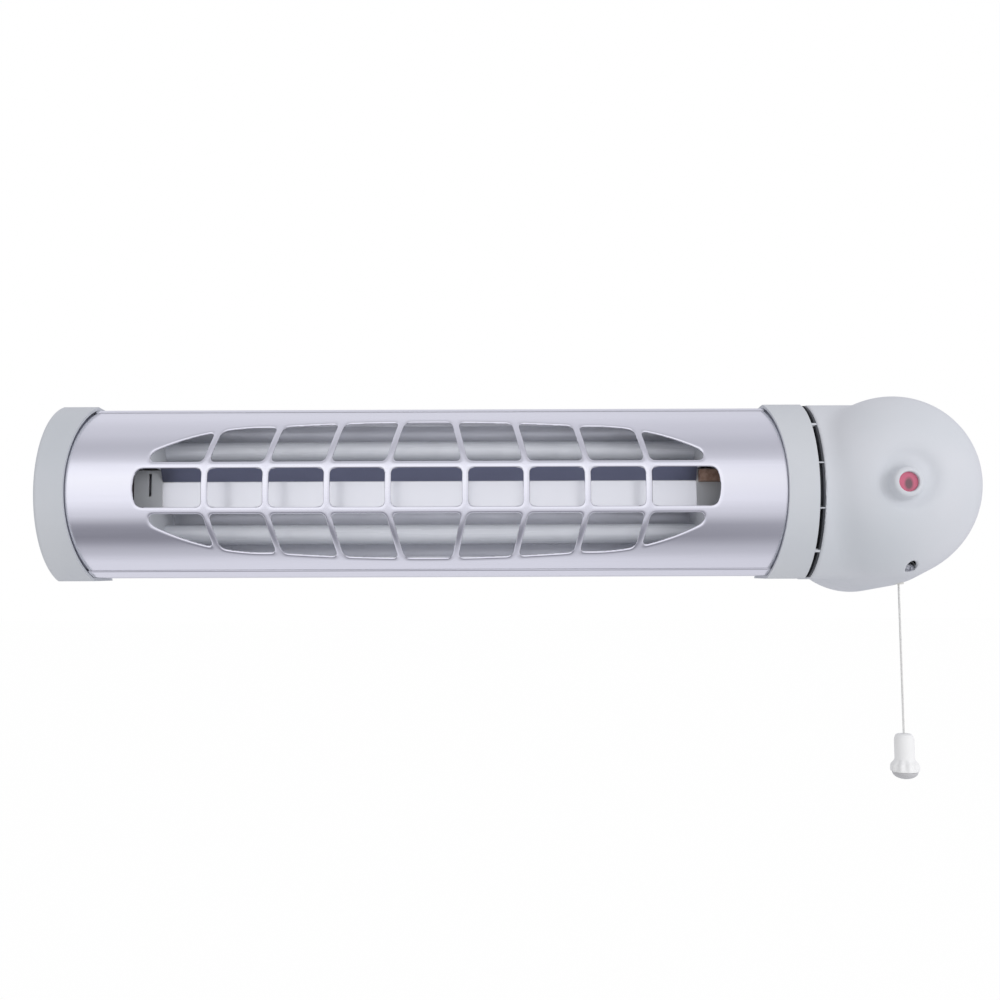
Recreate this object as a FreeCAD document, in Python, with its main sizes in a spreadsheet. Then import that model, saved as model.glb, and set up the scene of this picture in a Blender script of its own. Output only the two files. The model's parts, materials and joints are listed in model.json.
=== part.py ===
import FreeCAD, Part
import math
import os
import re

import Sketcher
from FreeCAD import Matrix, Rotation, Vector

# Infrared bathroom heater: a lamp housing that tilts between a control head and a wall bracket.
# X runs along the lamp, the front faces -Y, the wall is the plane Y = 0 and Z is up.
# The origin is the middle of the four wall screws, level with the tilt axis.

# Driving sizes in millimetres; a name that ends in _degrees or _slope says so itself.
SIZES = {
    # axes and overall lengths
    "axis_depth": 50,
    "lamp_length": 445,
    "neck_reach": 44.8,
    "screw_rise": 25,
    "head_screw_inset": 3.5,
    "foot_screw_inset": 15.5,
    "wall_screw_radius": 2.4,
    # clearances
    "seat_gap": 0.2,
    "running_gap": 0.3,
    "shaft_gap": 0.05,
    "swivel_gap": 3.2,
    # plastic end caps
    "cap_radius": 55,
    "cap_flat": 2.7,
    "cap_back": 15,
    "cap_wall": 2,
    "cap_reach": 17.2,
    "cap_rim_radius": 250,
    "cap_round": 2.5,
    # folded sheet housing
    "sheet_metal": 0.8,
    "hem_lip": 3.8,
    "shell_inset": 8,
    "grille_margin": 0.3,
    # window in the grille
    "window_half": 167,
    "window_height": 40.4,
    "window_shoulder_x": 90,
    "window_shoulder_z": 36.4,
    "window_flank_x": 128,
    "window_flank_z": 31,
    "window_tip_x": 158,
    "window_tip_z": 17,
    "bar_height": 13.2,
    "bar_width": 3.5,
    "rib_first": 22,
    "rib_pitch": 34.8,
    "rib_width": 3.3,
    "rib_lean": 6.5,
    "cell_corner": 2.5,
    # reflector and quartz tubes
    "strip_forward": 24,
    "trough_radius": 17,
    "reflector_metal": 0.6,
    "reflector_inset": 64.5,
    "tube_forward": 14,
    "tube_inset": 30,
    "tube_radius": 6,
    "tube_glass": 1,
    "tube_stub": 18,
    "coil_radius": 3.2,
    "coil_wire": 0.6,
    "coil_inset": 3,
    "coil_end": 2,
    "pin_radius": 1.6,
    "ceramic_wall": 2.5,
    "ceramic_grip": 14,
    "ceramic_length": 26,
    "bracket_plate": 1.2,
    "flange_reach": 17,
    "flange_half": 13,
    "slit_inset": 7.5,
    "slit_width": 1.6,
    "slit_low": -2.5,
    "slit_high": 11,
    "terminal_long": 16,
    "terminal_tall": 7,
    "terminal_rise": 5,
    # tilt axle
    "spigot_radius": 14,
    "spigot_bore": 9,
    "spigot_tail": 8,
    "clip_width": 4,
    "clip_metal": 1.5,
    "pivot_radius": 4,
    "pivot_head": 8,
    "pivot_head_depth": 4,
    "bush_wall": 3,
    "bush_lip": 4,
    "bush_tail": 4,
    # wall bracket at the far end
    "bracket_gap": 3.5,
    "bracket_metal": 2.5,
    "bracket_arm": 14,
    "bracket_foot_width": 34,
    "bracket_foot_rise": 36,
    # slotted swivel collar
    "collar_plate": 1.2,
    "collar_inset": 0.8,
    "collar_eye_gap": 3,
    "collar_ring_inset": 3,
    "collar_ring_wall": 3,
    "collar_front_degrees": 13,
    "collar_rib_degrees": 29,
    "collar_rib_width": 1.6,
    # control head
    "dome_radius": 53,
    "dome_front": 64.5,
    "dome_shoulder": 38,
    "dome_crown": 150,
    "dome_lean_slope": 0.175,
    "dome_drop": 4.3,
    "dome_wall": 2.5,
    "wall_radius": 47,
    "parting_depth": 24,
    "tray_floor": 3,
    # pilot light
    "pilot_inset": 3.5,
    "pilot_stand": 6.5,
    "pilot_sink": 1,
    "pilot_rim_radius": 8.2,
    "pilot_base_radius": 12.5,
    "lens_radius": 5.5,
    "lens_sink": 2,
    "lens_lip": 1.7,
    "lens_lip_depth": 1.5,
    "holder_lip": 1.5,
    "holder_wall": 1.6,
    "holder_depth": 14,
    "neon_radius": 2.6,
    # cover screw
    "cover_screw_offset": 7,
    "cover_screw_drop": 46,
    "cover_screw_forward": 35,
    "cover_screw_head": 2.8,
    "cover_screw_head_depth": 2.4,
    "cover_screw_shank": 1.5,
    "cover_screw_length": 38,
    "screw_recess": 3.3,
    "screw_boss_wall": 1,
    "post_wall": 1.7,
    "post_forward": 16,
    # pull switch
    "cord_offset": 13.5,
    "cord_forward": 1,
    "switch_left": 32,
    "switch_right": 9,
    "switch_half_depth": 10,
    "switch_low": -35,
    "switch_high": -6,
    "switch_wall": 1.6,
    "switch_post": 3.5,
    "tab_width": 6,
    "tab_metal": 0.8,
    "tab_height": 6,
    "plunger_radius": 2.5,
    "plunger_tail": 3,
    "plunger_head": 2.5,
    "plunger_collar": 6.5,
    "plunger_collar_depth": 2,
    "plunger_collar_low": -14,
    "spring_radius": 3.8,
    "spring_wire": 0.7,
    "lever_arm": 25,
    "lever_drop": 2.2,
    "lever_depth": 3,
    "lever_half_width": 4,
    "lever_tip_gap": 4.4,
    "lever_tail": 4,
    "lever_hub": 2.8,
    "lever_pin": 1.5,
    # pull cord and its knob
    "cord_radius": 0.7,
    "cord_bore": 1.2,
    "cord_bush_wall": 1.7,
    "cord_bush_lip": 1.2,
    "cord_bush_stand": 0.3,
    "cord_bush_head": 1.8,
    "cord_bush_rim": 1.2,
    "cord_length": 89.8,
    "knob_socket": 7,
    "knob_neck_radius": 4.8,
    "knob_body_radius": 6.2,
    "knob_taper": 3,
    "knob_body_length": 15.5,
    "knob_flange_radius": 9,
    "knob_flare": 2.5,
    "knob_flange_depth": 4.5,
    "knob_flutes": 10,
    "knob_flute_radius": 1.3,
    "knob_cap_radius": 7.8,
    "knob_cap_bulge": 4.3,
    # terminals and inlet
    "block_half_width": 18,
    "block_half_height": 9,
    "block_depth": 15,
    "block_pitch": 12,
    "block_screw_rise": 4.5,
    "block_screw_radius": 1.9,
    "block_screw_length": 5,
    "inlet_inset": 21.5,
    "inlet_drop": 36,
    "inlet_bore": 4.5,
    "inlet_wall": 2.5,
    "inlet_lip": 2,
    "inlet_lip_depth": 2,
    # small fasteners and wires
    "cap_screw_inset": 12,
    "cap_screw_rise": 30,
    "cap_screw_head": 3,
    "cap_screw_head_depth": 2,
    "cap_screw_shank": 1.4,
    "cap_screw_length": 9,
    "lead_radius": 0.9,
    "lead_bend": 4,
    "lead_spread": 3,
    "lead_tail": 9,
}

doc = FreeCAD.newDocument("bathroom_heater")
sheet = doc.addObject("Spreadsheet::Sheet", "sizes")
for row, (alias, number) in enumerate(SIZES.items(), start=1):
    sheet.set(f"A{row}", alias)
    sheet.set(f"B{row}", str(number))
    sheet.setAlias(f"B{row}", alias)
doc.recompute()

SIZE_WORD = re.compile(r"\b(" + "|".join(SIZES) + r")\b")

# Places that several pieces share, worked out from the sheet
# The lamp sits between the bracket and the head so that the wall screws stand evenly about the origin.
SCREW_SHIFT = "foot_screw_inset + neck_reach + swivel_gap - head_screw_inset - bracket_gap - bracket_metal"
LAMP_CENTRE = f"(-({SCREW_SHIFT}) / 2)"
LAMP_LEFT = f"({LAMP_CENTRE} - lamp_length / 2)"
LAMP_RIGHT = f"({LAMP_CENTRE} + lamp_length / 2)"
NECK_FACE = f"({LAMP_RIGHT} + swivel_gap)"
HEAD_X = f"({NECK_FACE} + neck_reach)"
ARM_RIGHT = f"({LAMP_LEFT} - bracket_gap)"
ARM_LEFT = f"({ARM_RIGHT} - bracket_metal)"
HEAD_SCREW_X = f"({HEAD_X} - head_screw_inset)"
FOOT_SCREW_X = f"({ARM_LEFT} + foot_screw_inset)"
# flat top and bottom of the caps, cut in from their round
CAP_HALF = "(cap_radius - cap_flat)"
# sheet housing inside the caps
SHELL_LEFT = f"({LAMP_LEFT} + shell_inset + seat_gap)"
SHELL_RIGHT = f"({LAMP_RIGHT} - cap_wall - seat_gap)"
SHELL_RADIUS = "(cap_radius - cap_wall - seat_gap)"
SHELL_HALF = f"({CAP_HALF} - cap_wall - seat_gap)"
SHELL_BACK = "(cap_back - cap_wall - seat_gap)"
HEM_HALF = f"({SHELL_HALF} - hem_lip)"
GRILLE_RADIUS = f"({SHELL_RADIUS} - sheet_metal - shaft_gap)"
GRILLE_HALF = f"({SHELL_HALF} - sheet_metal - grille_margin)"
CAP_LENGTH = f"(cap_reach + cap_rim_radius - sqrt(cap_rim_radius ^ 2 - {CAP_HALF} ^ 2))"
CAP_BACK_Y = "(-axis_depth + cap_back)"
# tubes and reflector
TUBE_Y = "(-axis_depth - tube_forward)"
TUBE_Z = "(cap_radius - tube_inset)"
STRIP_Y = "(-axis_depth - strip_forward)"
CERAMIC_RADIUS = "(tube_radius + ceramic_wall)"
REFLECTOR_HALF = "(lamp_length / 2 - reflector_inset)"
TUBE_HALF = f"({REFLECTOR_HALF} + tube_stub)"
CERAMIC_TAIL = f"({TUBE_HALF} - ceramic_grip + ceramic_length)"
# tilt axle
SPIGOT_END = f"({NECK_FACE} + dome_wall + spigot_tail)"
BUSH_RADIUS = "(pivot_radius + bush_wall)"
# control head
PILOT_X = f"({HEAD_X} - pilot_inset)"
PILOT_RIM_Y = "(-axis_depth - dome_front - pilot_stand)"
LENS_FACE = f"({PILOT_RIM_Y} + lens_sink)"
LENS_BACK = "(-axis_depth - dome_front + dome_wall + pilot_sink)"
LENS_FLANGE = "(lens_radius + lens_lip)"
COVER_SCREW_X = f"({HEAD_X} + cover_screw_offset)"
COVER_SCREW_Z = "(-cover_screw_drop)"
SCREW_SEAT = "(-axis_depth - cover_screw_forward)"
POST_FRONT = "(-axis_depth - post_forward)"
INLET_X = f"({HEAD_X} - inlet_inset)"
INLET_RADIUS = "(inlet_bore + inlet_wall)"
# pull switch and cord
CORD_X = f"({HEAD_X} + cord_offset)"
CORD_Y = "(-axis_depth - cord_forward)"
CORD_EXIT = "(dome_lean_slope * cord_forward - dome_drop - sqrt(dome_radius ^ 2 - cord_offset ^ 2))"
CORD_BUSH_RADIUS = "(cord_bore + cord_bush_wall)"
CORD_BUSH_LOW = f"({CORD_EXIT} - cord_bush_stand)"
CORD_BUSH_HIGH = f"({CORD_EXIT} + dome_wall + cord_bush_head)"
CORD_HOLE_LOW = f"({CORD_EXIT} - {CORD_BUSH_RADIUS})"
SWITCH_BACK = f"({CORD_Y} + switch_half_depth)"
SWITCH_FRONT = f"({CORD_Y} - switch_half_depth)"
KNOB_TOP = f"({CORD_EXIT} - cord_length)"
KNOB_FLANGE_TOP = f"({KNOB_TOP} - knob_body_length)"
KNOB_LOW = f"({KNOB_FLANGE_TOP} - knob_flare - knob_flange_depth)"
ALONG = {
    "X": Rotation(Vector(0, 1, 0), 90),
    "Y": Rotation(Vector(1, 0, 0), -90),
    "Z": Rotation(),
}
pieces = {}


def num(expression):
    """The value of an expression in the names of the sheet."""
    return float(sheet.evalExpression(str(expression)))


def bind(item, prop, expression):
    """Tie a property to the sheet."""
    item.setExpression(prop, SIZE_WORD.sub(r"sizes.\1", str(expression)))


def place(item, x, y, z):
    for letter, expression in zip("xyz", (x, y, z)):
        bind(item, f"Placement.Base.{letter}", expression)


def box(name, x, y, z):
    """A block between pairs of low and high expressions."""
    item = doc.addObject("Part::Box", name)
    for prop, (low, high) in zip(("Length", "Width", "Height"), (x, y, z)):
        bind(item, prop, f"({high}) - ({low})")
    place(item, x[0], y[0], z[0])
    return item


def rod(name, axis, radius, low, high, first, second):
    """A cylinder along an axis, at its two other coordinates in their order."""
    item = doc.addObject("Part::Cylinder", name)
    item.Placement = FreeCAD.Placement(Vector(), ALONG[axis])
    bind(item, "Radius", radius)
    bind(item, "Height", f"({high}) - ({low})")
    spots = {"X": (low, first, second), "Y": (first, low, second), "Z": (first, second, low)}
    place(item, *spots[axis])
    return item


def fuse(name, *items):
    joined = doc.addObject("Part::MultiFuse", name)
    joined.Shapes = list(items)
    joined.Refine = True
    return joined


def cut(name, base, *tools):
    removed = tools[0]
    if len(tools) > 1:
        removed = fuse(name + "_tools", *tools)
    result = doc.addObject("Part::Cut", name)
    result.Base = base
    result.Tool = removed
    result.Refine = True
    return result


def common(name, one, two):
    result = doc.addObject("Part::Common", name)
    result.Base = one
    result.Tool = two
    return result


def piece(label, item):
    """Name a finished sub-part."""
    item.Label = label
    pieces[label] = item
    return item


def shaped(label, shape):
    item = doc.addObject("Part::Feature", label)
    item.Shape = shape
    return piece(label, item)


def d_body(name, x_from, x_to, radius, half_height, back):
    """A block of the lamp's D section: a round front on the tilt axis, flat top, bottom and back."""
    body = doc.addObject("PartDesign::Body", name)
    sketch = body.newObject("Sketcher::SketchObject", name + "_outline")
    plane = next(item for item in body.Origin.OriginFeatures if item.Role == "YZ_Plane")
    sketch.AttachmentSupport = [(plane, "")]
    sketch.MapMode = "FlatFace"
    bind(sketch, "AttachmentOffset.Base.z", x_from)
    r, half, depth, centre = num(radius), num(half_height), num(back), -num("axis_depth")
    crease = centre - math.sqrt(r * r - half * half)
    rear = centre + depth
    swing = math.atan2(half, crease - centre)
    circle = Part.Circle(Vector(centre, 0, 0), Vector(0, 0, 1), r)
    front = sketch.addGeometry(Part.ArcOfCircle(circle, swing, 2 * math.pi - swing))
    corners = [Vector(crease, -half), Vector(rear, -half), Vector(rear, half), Vector(crease, half)]
    low, wall, high = (
        sketch.addGeometry(Part.LineSegment(start, end)) for start, end in zip(corners, corners[1:])
    )
    rule = Sketcher.Constraint
    for one, two in ((front, low), (low, wall), (wall, high), (high, front)):
        sketch.addConstraint(rule("Coincident", one, 2, two, 1))
    sketch.addConstraint(rule("Horizontal", low))
    sketch.addConstraint(rule("Horizontal", high))
    sketch.addConstraint(rule("Vertical", wall))
    sketch.addConstraint(rule("PointOnObject", front, 3, -1))
    sketch.addConstraint(rule("Symmetric", front, 1, front, 2, -1))
    measures = {
        "centre": (rule("DistanceX", front, 3, -1, 1, -centre), "axis_depth"),
        "radius": (rule("Radius", front, r), radius),
        "half_height": (rule("DistanceY", -1, 1, front, 1, half), half_height),
        "back": (rule("DistanceX", front, 3, wall, 1, depth), back),
    }
    for measure, (constraint, expression) in measures.items():
        sketch.renameConstraint(sketch.addConstraint(constraint), measure)
        bind(sketch, f"Constraints.{measure}", expression)
    pad = body.newObject("PartDesign::Pad", name + "_pad")
    pad.Profile = sketch
    bind(pad, "Length", f"({x_to}) - ({x_from})")
    doc.recompute()
    return body


def round_end(name, base, end, rounding, skipped):
    """Round the edges of the face at the low X end, but not those of the skipped direction."""
    doc.recompute()
    low = num(end)
    radius = num(rounding)
    rim = [
        (index, radius, radius)
        for index, edge in enumerate(base.Shape.Edges, start=1)
        if edge.BoundBox.XMax < low + 0.001 and not skipped(edge.BoundBox)
    ]
    result = doc.addObject("Part::Fillet", name)
    result.Base = base
    result.Edges = rim
    return result


def cap_form(name, x_from, x_to, inset, rounding):
    """The left cap's outer or inner form, with the end rounded over."""
    radius = f"(cap_radius - {inset})"
    half = f"({CAP_HALF} - {inset})"
    back = f"(-axis_depth + cap_back - {inset})"
    nose = rod(name + "_nose", "X", radius, x_from, x_to, "-axis_depth", "0")
    rear = box(name + "_rear", (x_from, x_to), ("-axis_depth", back), (f"-{radius}", radius))
    barrel = fuse(name + "_barrel", nose, rear)
    slab = box(name + "_slab", (x_from, x_to), (f"-axis_depth - {radius}", back), (f"-{half}", half))

    def is_back(bounds):
        return bounds.YMin > -num("axis_depth") + 0.001

    def is_upright(bounds):
        return bounds.ZLength > 0.001

    soft_barrel = round_end(name + "_soft_barrel", barrel, x_from, rounding, is_back)
    soft_slab = round_end(name + "_soft_slab", slab, x_from, rounding, is_upright)
    return common(name, soft_barrel, soft_slab)


def face_of(*edges):
    return Part.Face(Part.Wire(list(edges)))


def line(start, end):
    return Part.makeLine(start, end)


def arc(start, middle, end):
    return Part.Arc(start, middle, end).toShape()


def routed(points, bend, radius):
    """A round wire along straight runs joined by tangent arcs."""
    edges = []
    start = points[0]
    for before, corner, after in zip(points, points[1:], points[2:]):
        back = (before - corner).normalize()
        ahead = (after - corner).normalize()
        half_turn = (math.pi - back.getAngle(ahead)) / 2
        reach = bend * math.tan(half_turn)
        entry = corner + back * reach
        leave = corner + ahead * reach
        inward = (back + ahead).normalize()
        middle = corner + inward * (bend / math.cos(half_turn) - bend)
        edges.append(line(start, entry))
        edges.append(arc(entry, middle, leave))
        start = leave
    edges.append(line(start, points[-1]))
    path = Part.Wire(edges)
    heading = (points[1] - points[0]).normalize()
    section = Part.Wire([Part.makeCircle(radius, points[0], heading)])
    return path.makePipeShell([section], True, False)


def ring_sector(low, high, inner, outer, middle_degrees, half_degrees):
    """A piece of ring about the tilt axis; 0 degrees points forward and 90 up."""
    centre_y = -num("axis_depth")

    def spot(radius, degrees):
        turn = math.radians(degrees)
        return Vector(low, centre_y - radius * math.cos(turn), radius * math.sin(turn))

    first = middle_degrees - half_degrees
    last = middle_degrees + half_degrees
    face = face_of(
        arc(spot(outer, first), spot(outer, middle_degrees), spot(outer, last)),
        line(spot(outer, last), spot(inner, last)),
        arc(spot(inner, last), spot(inner, middle_degrees), spot(inner, first)),
        line(spot(inner, first), spot(outer, first)),
    )
    return face.extrude(Vector(high - low, 0, 0))


# Front grille: one curved sheet with the punched window
def window_face(y):
    """The outline of the whole window, made of arcs."""
    length, height = num("window_half"), num("window_height")
    shoulder = num("window_shoulder_x"), num("window_shoulder_z")
    flank = num("window_flank_x"), num("window_flank_z")
    tip = num("window_tip_x"), num("window_tip_z")
    middle = num(LAMP_CENTRE)

    def spot(x, z):
        return Vector(middle + x, y, z)

    return face_of(
        arc(spot(-shoulder[0], shoulder[1]), spot(0, height), spot(*shoulder)),
        arc(spot(*shoulder), spot(*flank), spot(*tip)),
        arc(spot(*tip), spot(length, 0), spot(tip[0], -tip[1])),
        arc(spot(tip[0], -tip[1]), spot(flank[0], -flank[1]), spot(shoulder[0], -shoulder[1])),
        arc(spot(shoulder[0], -shoulder[1]), spot(0, -height), spot(-shoulder[0], -shoulder[1])),
        arc(spot(-shoulder[0], -shoulder[1]), spot(-flank[0], -flank[1]), spot(-tip[0], -tip[1])),
        arc(spot(-tip[0], -tip[1]), spot(-length, 0), spot(-tip[0], tip[1])),
        arc(spot(-tip[0], tip[1]), spot(-flank[0], flank[1]), spot(-shoulder[0], shoulder[1])),
    )


def rib_lines():
    """Middles of the upright ribs, from left to right."""
    first, pitch = num("rib_first"), num("rib_pitch")
    right = [first + pitch * step for step in range(4)]
    return [-x for x in reversed(right)] + right


def rib_edge(rib, side, rise):
    """X of one edge of a rib at a height above the bar; the outer rows lean to the middle."""
    lean = -math.copysign(num("rib_lean"), rib) * rise / (num("window_height") - num("bar_height"))
    return num(LAMP_CENTRE) + rib + lean + side * num("rib_width") / 2


def cell_faces(y):
    """Every opening of the window, with rounded corners."""
    half_bar = num("bar_width") / 2
    bar = num("bar_height")
    beyond = num("window_height") + half_bar
    far = num("window_half") + num("rib_width")
    outline = window_face(y)
    ribs = [-far] + rib_lines() + [far]
    corner = num("cell_corner")
    rows = [(-beyond, -bar - half_bar), (-bar + half_bar, bar - half_bar), (bar + half_bar, beyond)]
    for low, high in rows:
        for left, right in zip(ribs, ribs[1:]):
            rise_low = max(abs(low) - bar, 0)
            rise_high = max(abs(high) - bar, 0)
            spots = [
                Vector(rib_edge(left, 1, rise_low), y, low),
                Vector(rib_edge(right, -1, rise_low), y, low),
                Vector(rib_edge(right, -1, rise_high), y, high),
                Vector(rib_edge(left, 1, rise_high), y, high),
            ]
            opening = outline.common(Part.Face(Part.makePolygon(spots + spots[:1]))).Faces[0]
            yield opening.makeOffset2D(-corner).makeOffset2D(corner)


def front_grille():
    outer = num(GRILLE_RADIUS)
    inner = outer - num("sheet_metal")
    half = num(GRILLE_HALF)
    axis_y = -num("axis_depth")
    left, right = num(SHELL_LEFT), num(SHELL_RIGHT)

    def spot(radius, z):
        return Vector(left, axis_y - math.sqrt(radius ** 2 - z ** 2), z)

    section = face_of(
        arc(spot(outer, -half), spot(outer, 0), spot(outer, half)),
        line(spot(outer, half), spot(inner, half)),
        arc(spot(inner, half), spot(inner, 0), spot(inner, -half)),
        line(spot(inner, -half), spot(outer, -half)),
    )
    sheet_solid = section.extrude(Vector(right - left, 0, 0))
    start_y = axis_y - num("cap_radius")
    punches = [face.extrude(Vector(0, num("cap_radius"), 0)) for face in cell_faces(start_y)]
    return sheet_solid.cut(punches).Solids[0]


shaped("front_grille", front_grille())

# Rear shell: a folded channel whose edges are hemmed over the grille
shell_blank = d_body("shell_blank", SHELL_LEFT, SHELL_RIGHT, SHELL_RADIUS, SHELL_HALF, SHELL_BACK)
shell_space = d_body(
    "shell_space",
    SHELL_LEFT,
    SHELL_RIGHT,
    f"{SHELL_RADIUS} - sheet_metal",
    f"{SHELL_HALF} - sheet_metal",
    f"{SHELL_BACK} - sheet_metal",
)
shell_front = box(
    "shell_front",
    (SHELL_LEFT, SHELL_RIGHT),
    ("-axis_depth - cap_radius", "-axis_depth"),
    (f"-{HEM_HALF}", HEM_HALF),
)
folded_shell = cut("folded_shell", shell_blank, shell_space, shell_front)


# Reflector: a flat middle strip and two round troughs behind the tubes
def reflector():
    strip = num(STRIP_Y)
    metal = num("reflector_metal")
    tube_y, tube_z = num(TUBE_Y), num(TUBE_Z)
    edge_radius = num(GRILLE_RADIUS) - num("sheet_metal") - num("seat_gap")
    edge = math.sqrt(edge_radius ** 2 - num("strip_forward") ** 2)
    half = num(REFLECTOR_HALF)
    left = num(LAMP_CENTRE) - half

    def side(radius, y):
        """Corner heights of one face of the sheet, at the strip and beyond the trough."""
        reach = math.sqrt(radius ** 2 - (y - tube_y) ** 2)
        return tube_z - reach, tube_z + reach

    def edges_of(radius, y, sign):
        near, far = side(radius, y)
        bottom = Vector(left, tube_y + radius, sign * tube_z)
        return [
            line(Vector(left, y, 0), Vector(left, y, sign * near)),
            arc(Vector(left, y, sign * near), bottom, Vector(left, y, sign * far)),
            line(Vector(left, y, sign * far), Vector(left, y, sign * edge)),
        ]

    inner, outer = num("trough_radius"), num("trough_radius") + metal
    back = strip + metal
    outline = edges_of(inner, strip, 1) + edges_of(inner, strip, -1)
    outline += edges_of(outer, back, 1) + edges_of(outer, back, -1)
    for sign in (1, -1):
        outline.append(line(Vector(left, strip, sign * edge), Vector(left, back, sign * edge)))
    wire = Part.Wire(Part.__sortEdges__(outline))
    return Part.Face(wire).extrude(Vector(2 * half, 0, 0))


shaped("reflector", reflector())

# Plates that carry the tubes at both ends of the reflector
for end, sign in (("left", -1), ("right", 1)):
    inner_x = f"({LAMP_CENTRE} + {sign} * {REFLECTOR_HALF})"
    outer_x = f"({inner_x} + {sign} * bracket_plate)"
    low_x, high_x = sorted((inner_x, outer_x), key=num)
    plate = d_body(
        f"plate_{end}",
        low_x,
        high_x,
        f"{GRILLE_RADIUS} - sheet_metal - seat_gap",
        f"{SHELL_HALF} - sheet_metal - seat_gap",
        f"{SHELL_BACK} - sheet_metal",
    )
    holes = [
        rod(
            f"plate_{end}_hole_{name}",
            "X",
            "tube_radius + shaft_gap",
            low_x,
            high_x,
            TUBE_Y,
            height,
        )
        for name, height in (("upper", TUBE_Z), ("lower", f"-{TUBE_Z}"))
    ]
    # the middle of the window looks past the plate at its flange
    holes.append(
        box(
            f"plate_{end}_notch",
            (low_x, high_x),
            (f"{STRIP_Y} - {GRILLE_RADIUS}", STRIP_Y),
            ("-flange_half", "flange_half"),
        )
    )
    flange_x = f"({inner_x} + {sign} * flange_reach)"
    flange = box(
        f"flange_{end}",
        sorted((inner_x, flange_x), key=num),
        (STRIP_Y, f"{STRIP_Y} + bracket_plate"),
        ("-flange_half", "flange_half"),
    )
    if end == "left":
        slit_x = f"({inner_x} - slit_inset)"
        holes.append(
            box(
                "flange_slit",
                (f"{slit_x} - slit_width / 2", f"{slit_x} + slit_width / 2"),
                (STRIP_Y, f"{STRIP_Y} + bracket_plate"),
                ("slit_low", "slit_high"),
            )
        )
    flanged = fuse(f"flanged_{end}", plate, flange)
    piece(f"tube_bracket_{end}", cut(f"tube_bracket_{end}", flanged, *holes))

# Quartz tubes, the wound elements in them and the ceramic ends
TUBE_LEFT = f"({LAMP_CENTRE} - {TUBE_HALF})"
TUBE_RIGHT = f"({LAMP_CENTRE} + {TUBE_HALF})"
for row, height in (("upper", TUBE_Z), ("lower", f"-{TUBE_Z}")):
    glass = rod(f"glass_{row}", "X", "tube_radius", TUBE_LEFT, TUBE_RIGHT, TUBE_Y, height)
    bore = rod(f"bore_{row}", "X", "tube_radius - tube_glass", TUBE_LEFT, TUBE_RIGHT, TUBE_Y, height)
    piece(f"quartz_tube_{row}", cut(f"quartz_tube_{row}", glass, bore))
    coil_span = (f"{TUBE_LEFT} + coil_inset", f"{TUBE_RIGHT} - coil_inset")
    hollow_span = (f"{coil_span[0]} + coil_end", f"{coil_span[1]} - coil_end")
    pin_span = (f"{LAMP_CENTRE} - {CERAMIC_TAIL}", f"{LAMP_CENTRE} + {CERAMIC_TAIL}")
    coil = rod(f"coil_{row}", "X", "coil_radius", *coil_span, TUBE_Y, height)
    pin = rod(f"coil_pin_{row}", "X", "pin_radius", *pin_span, TUBE_Y, height)
    hollow = rod(f"coil_hollow_{row}", "X", "coil_radius - coil_wire", *hollow_span, TUBE_Y, height)
    element = fuse(f"element_{row}", coil, pin)
    piece(f"heating_coil_{row}", cut(f"heating_coil_{row}", element, hollow))
    for end, sign, tube_end in (("left", -1, TUBE_LEFT), ("right", 1, TUBE_RIGHT)):
        name = f"ceramic_{end}_{row}"
        mouth = f"({tube_end} - {sign} * ceramic_grip)"
        seat = f"({tube_end} + {sign} * shaft_gap)"
        tail = f"({LAMP_CENTRE} + {sign} * {CERAMIC_TAIL})"
        solid = rod(name + "_blank", "X", CERAMIC_RADIUS, *sorted((mouth, tail), key=num), TUBE_Y, height)
        grip = rod(
            name + "_grip",
            "X",
            "tube_radius + shaft_gap",
            *sorted((mouth, seat), key=num),
            TUBE_Y,
            height,
        )
        throat = rod(
            name + "_throat",
            "X",
            "pin_radius + shaft_gap",
            *sorted((mouth, tail), key=num),
            TUBE_Y,
            height,
        )
        piece(name, cut(name, solid, grip, throat))

# Ceramic connector on the right plate
LINK_LEFT = f"({LAMP_CENTRE} + {REFLECTOR_HALF} + bracket_plate)"
LINK_X = (LINK_LEFT, f"{LINK_LEFT} + terminal_long")
link_block = box(
    "link_block",
    LINK_X,
    (f"{STRIP_Y} - terminal_tall", STRIP_Y),
    ("terminal_rise", "terminal_rise + terminal_tall"),
)
link_hole = rod(
    "link_hole",
    "X",
    "lead_radius + seat_gap",
    *LINK_X,
    f"{STRIP_Y} - terminal_tall / 2",
    "terminal_rise + terminal_tall / 2",
)
piece("link_terminal", cut("link_terminal", link_block, link_hole))

# Left end cap: a cup with a hole for the pivot bush
left_form = cap_form("left_form", LAMP_LEFT, f"{LAMP_LEFT} + {CAP_LENGTH}", "0", "cap_round")
left_space = cap_form(
    "left_space",
    f"({LAMP_LEFT} + cap_wall)",
    f"{LAMP_LEFT} + {CAP_LENGTH}",
    "cap_wall",
    "cap_round - cap_wall",
)
left_rim = rod(
    "left_rim",
    "Y",
    "cap_rim_radius",
    "-axis_depth - 2 * cap_radius",
    "-axis_depth + cap_radius",
    f"{LAMP_LEFT} + cap_reach + cap_rim_radius",
    "0",
)
left_hole = rod(
    "left_hole",
    "X",
    f"{BUSH_RADIUS} + shaft_gap",
    LAMP_LEFT,
    f"{LAMP_LEFT} + cap_wall",
    "-axis_depth",
    "0",
)
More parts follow.
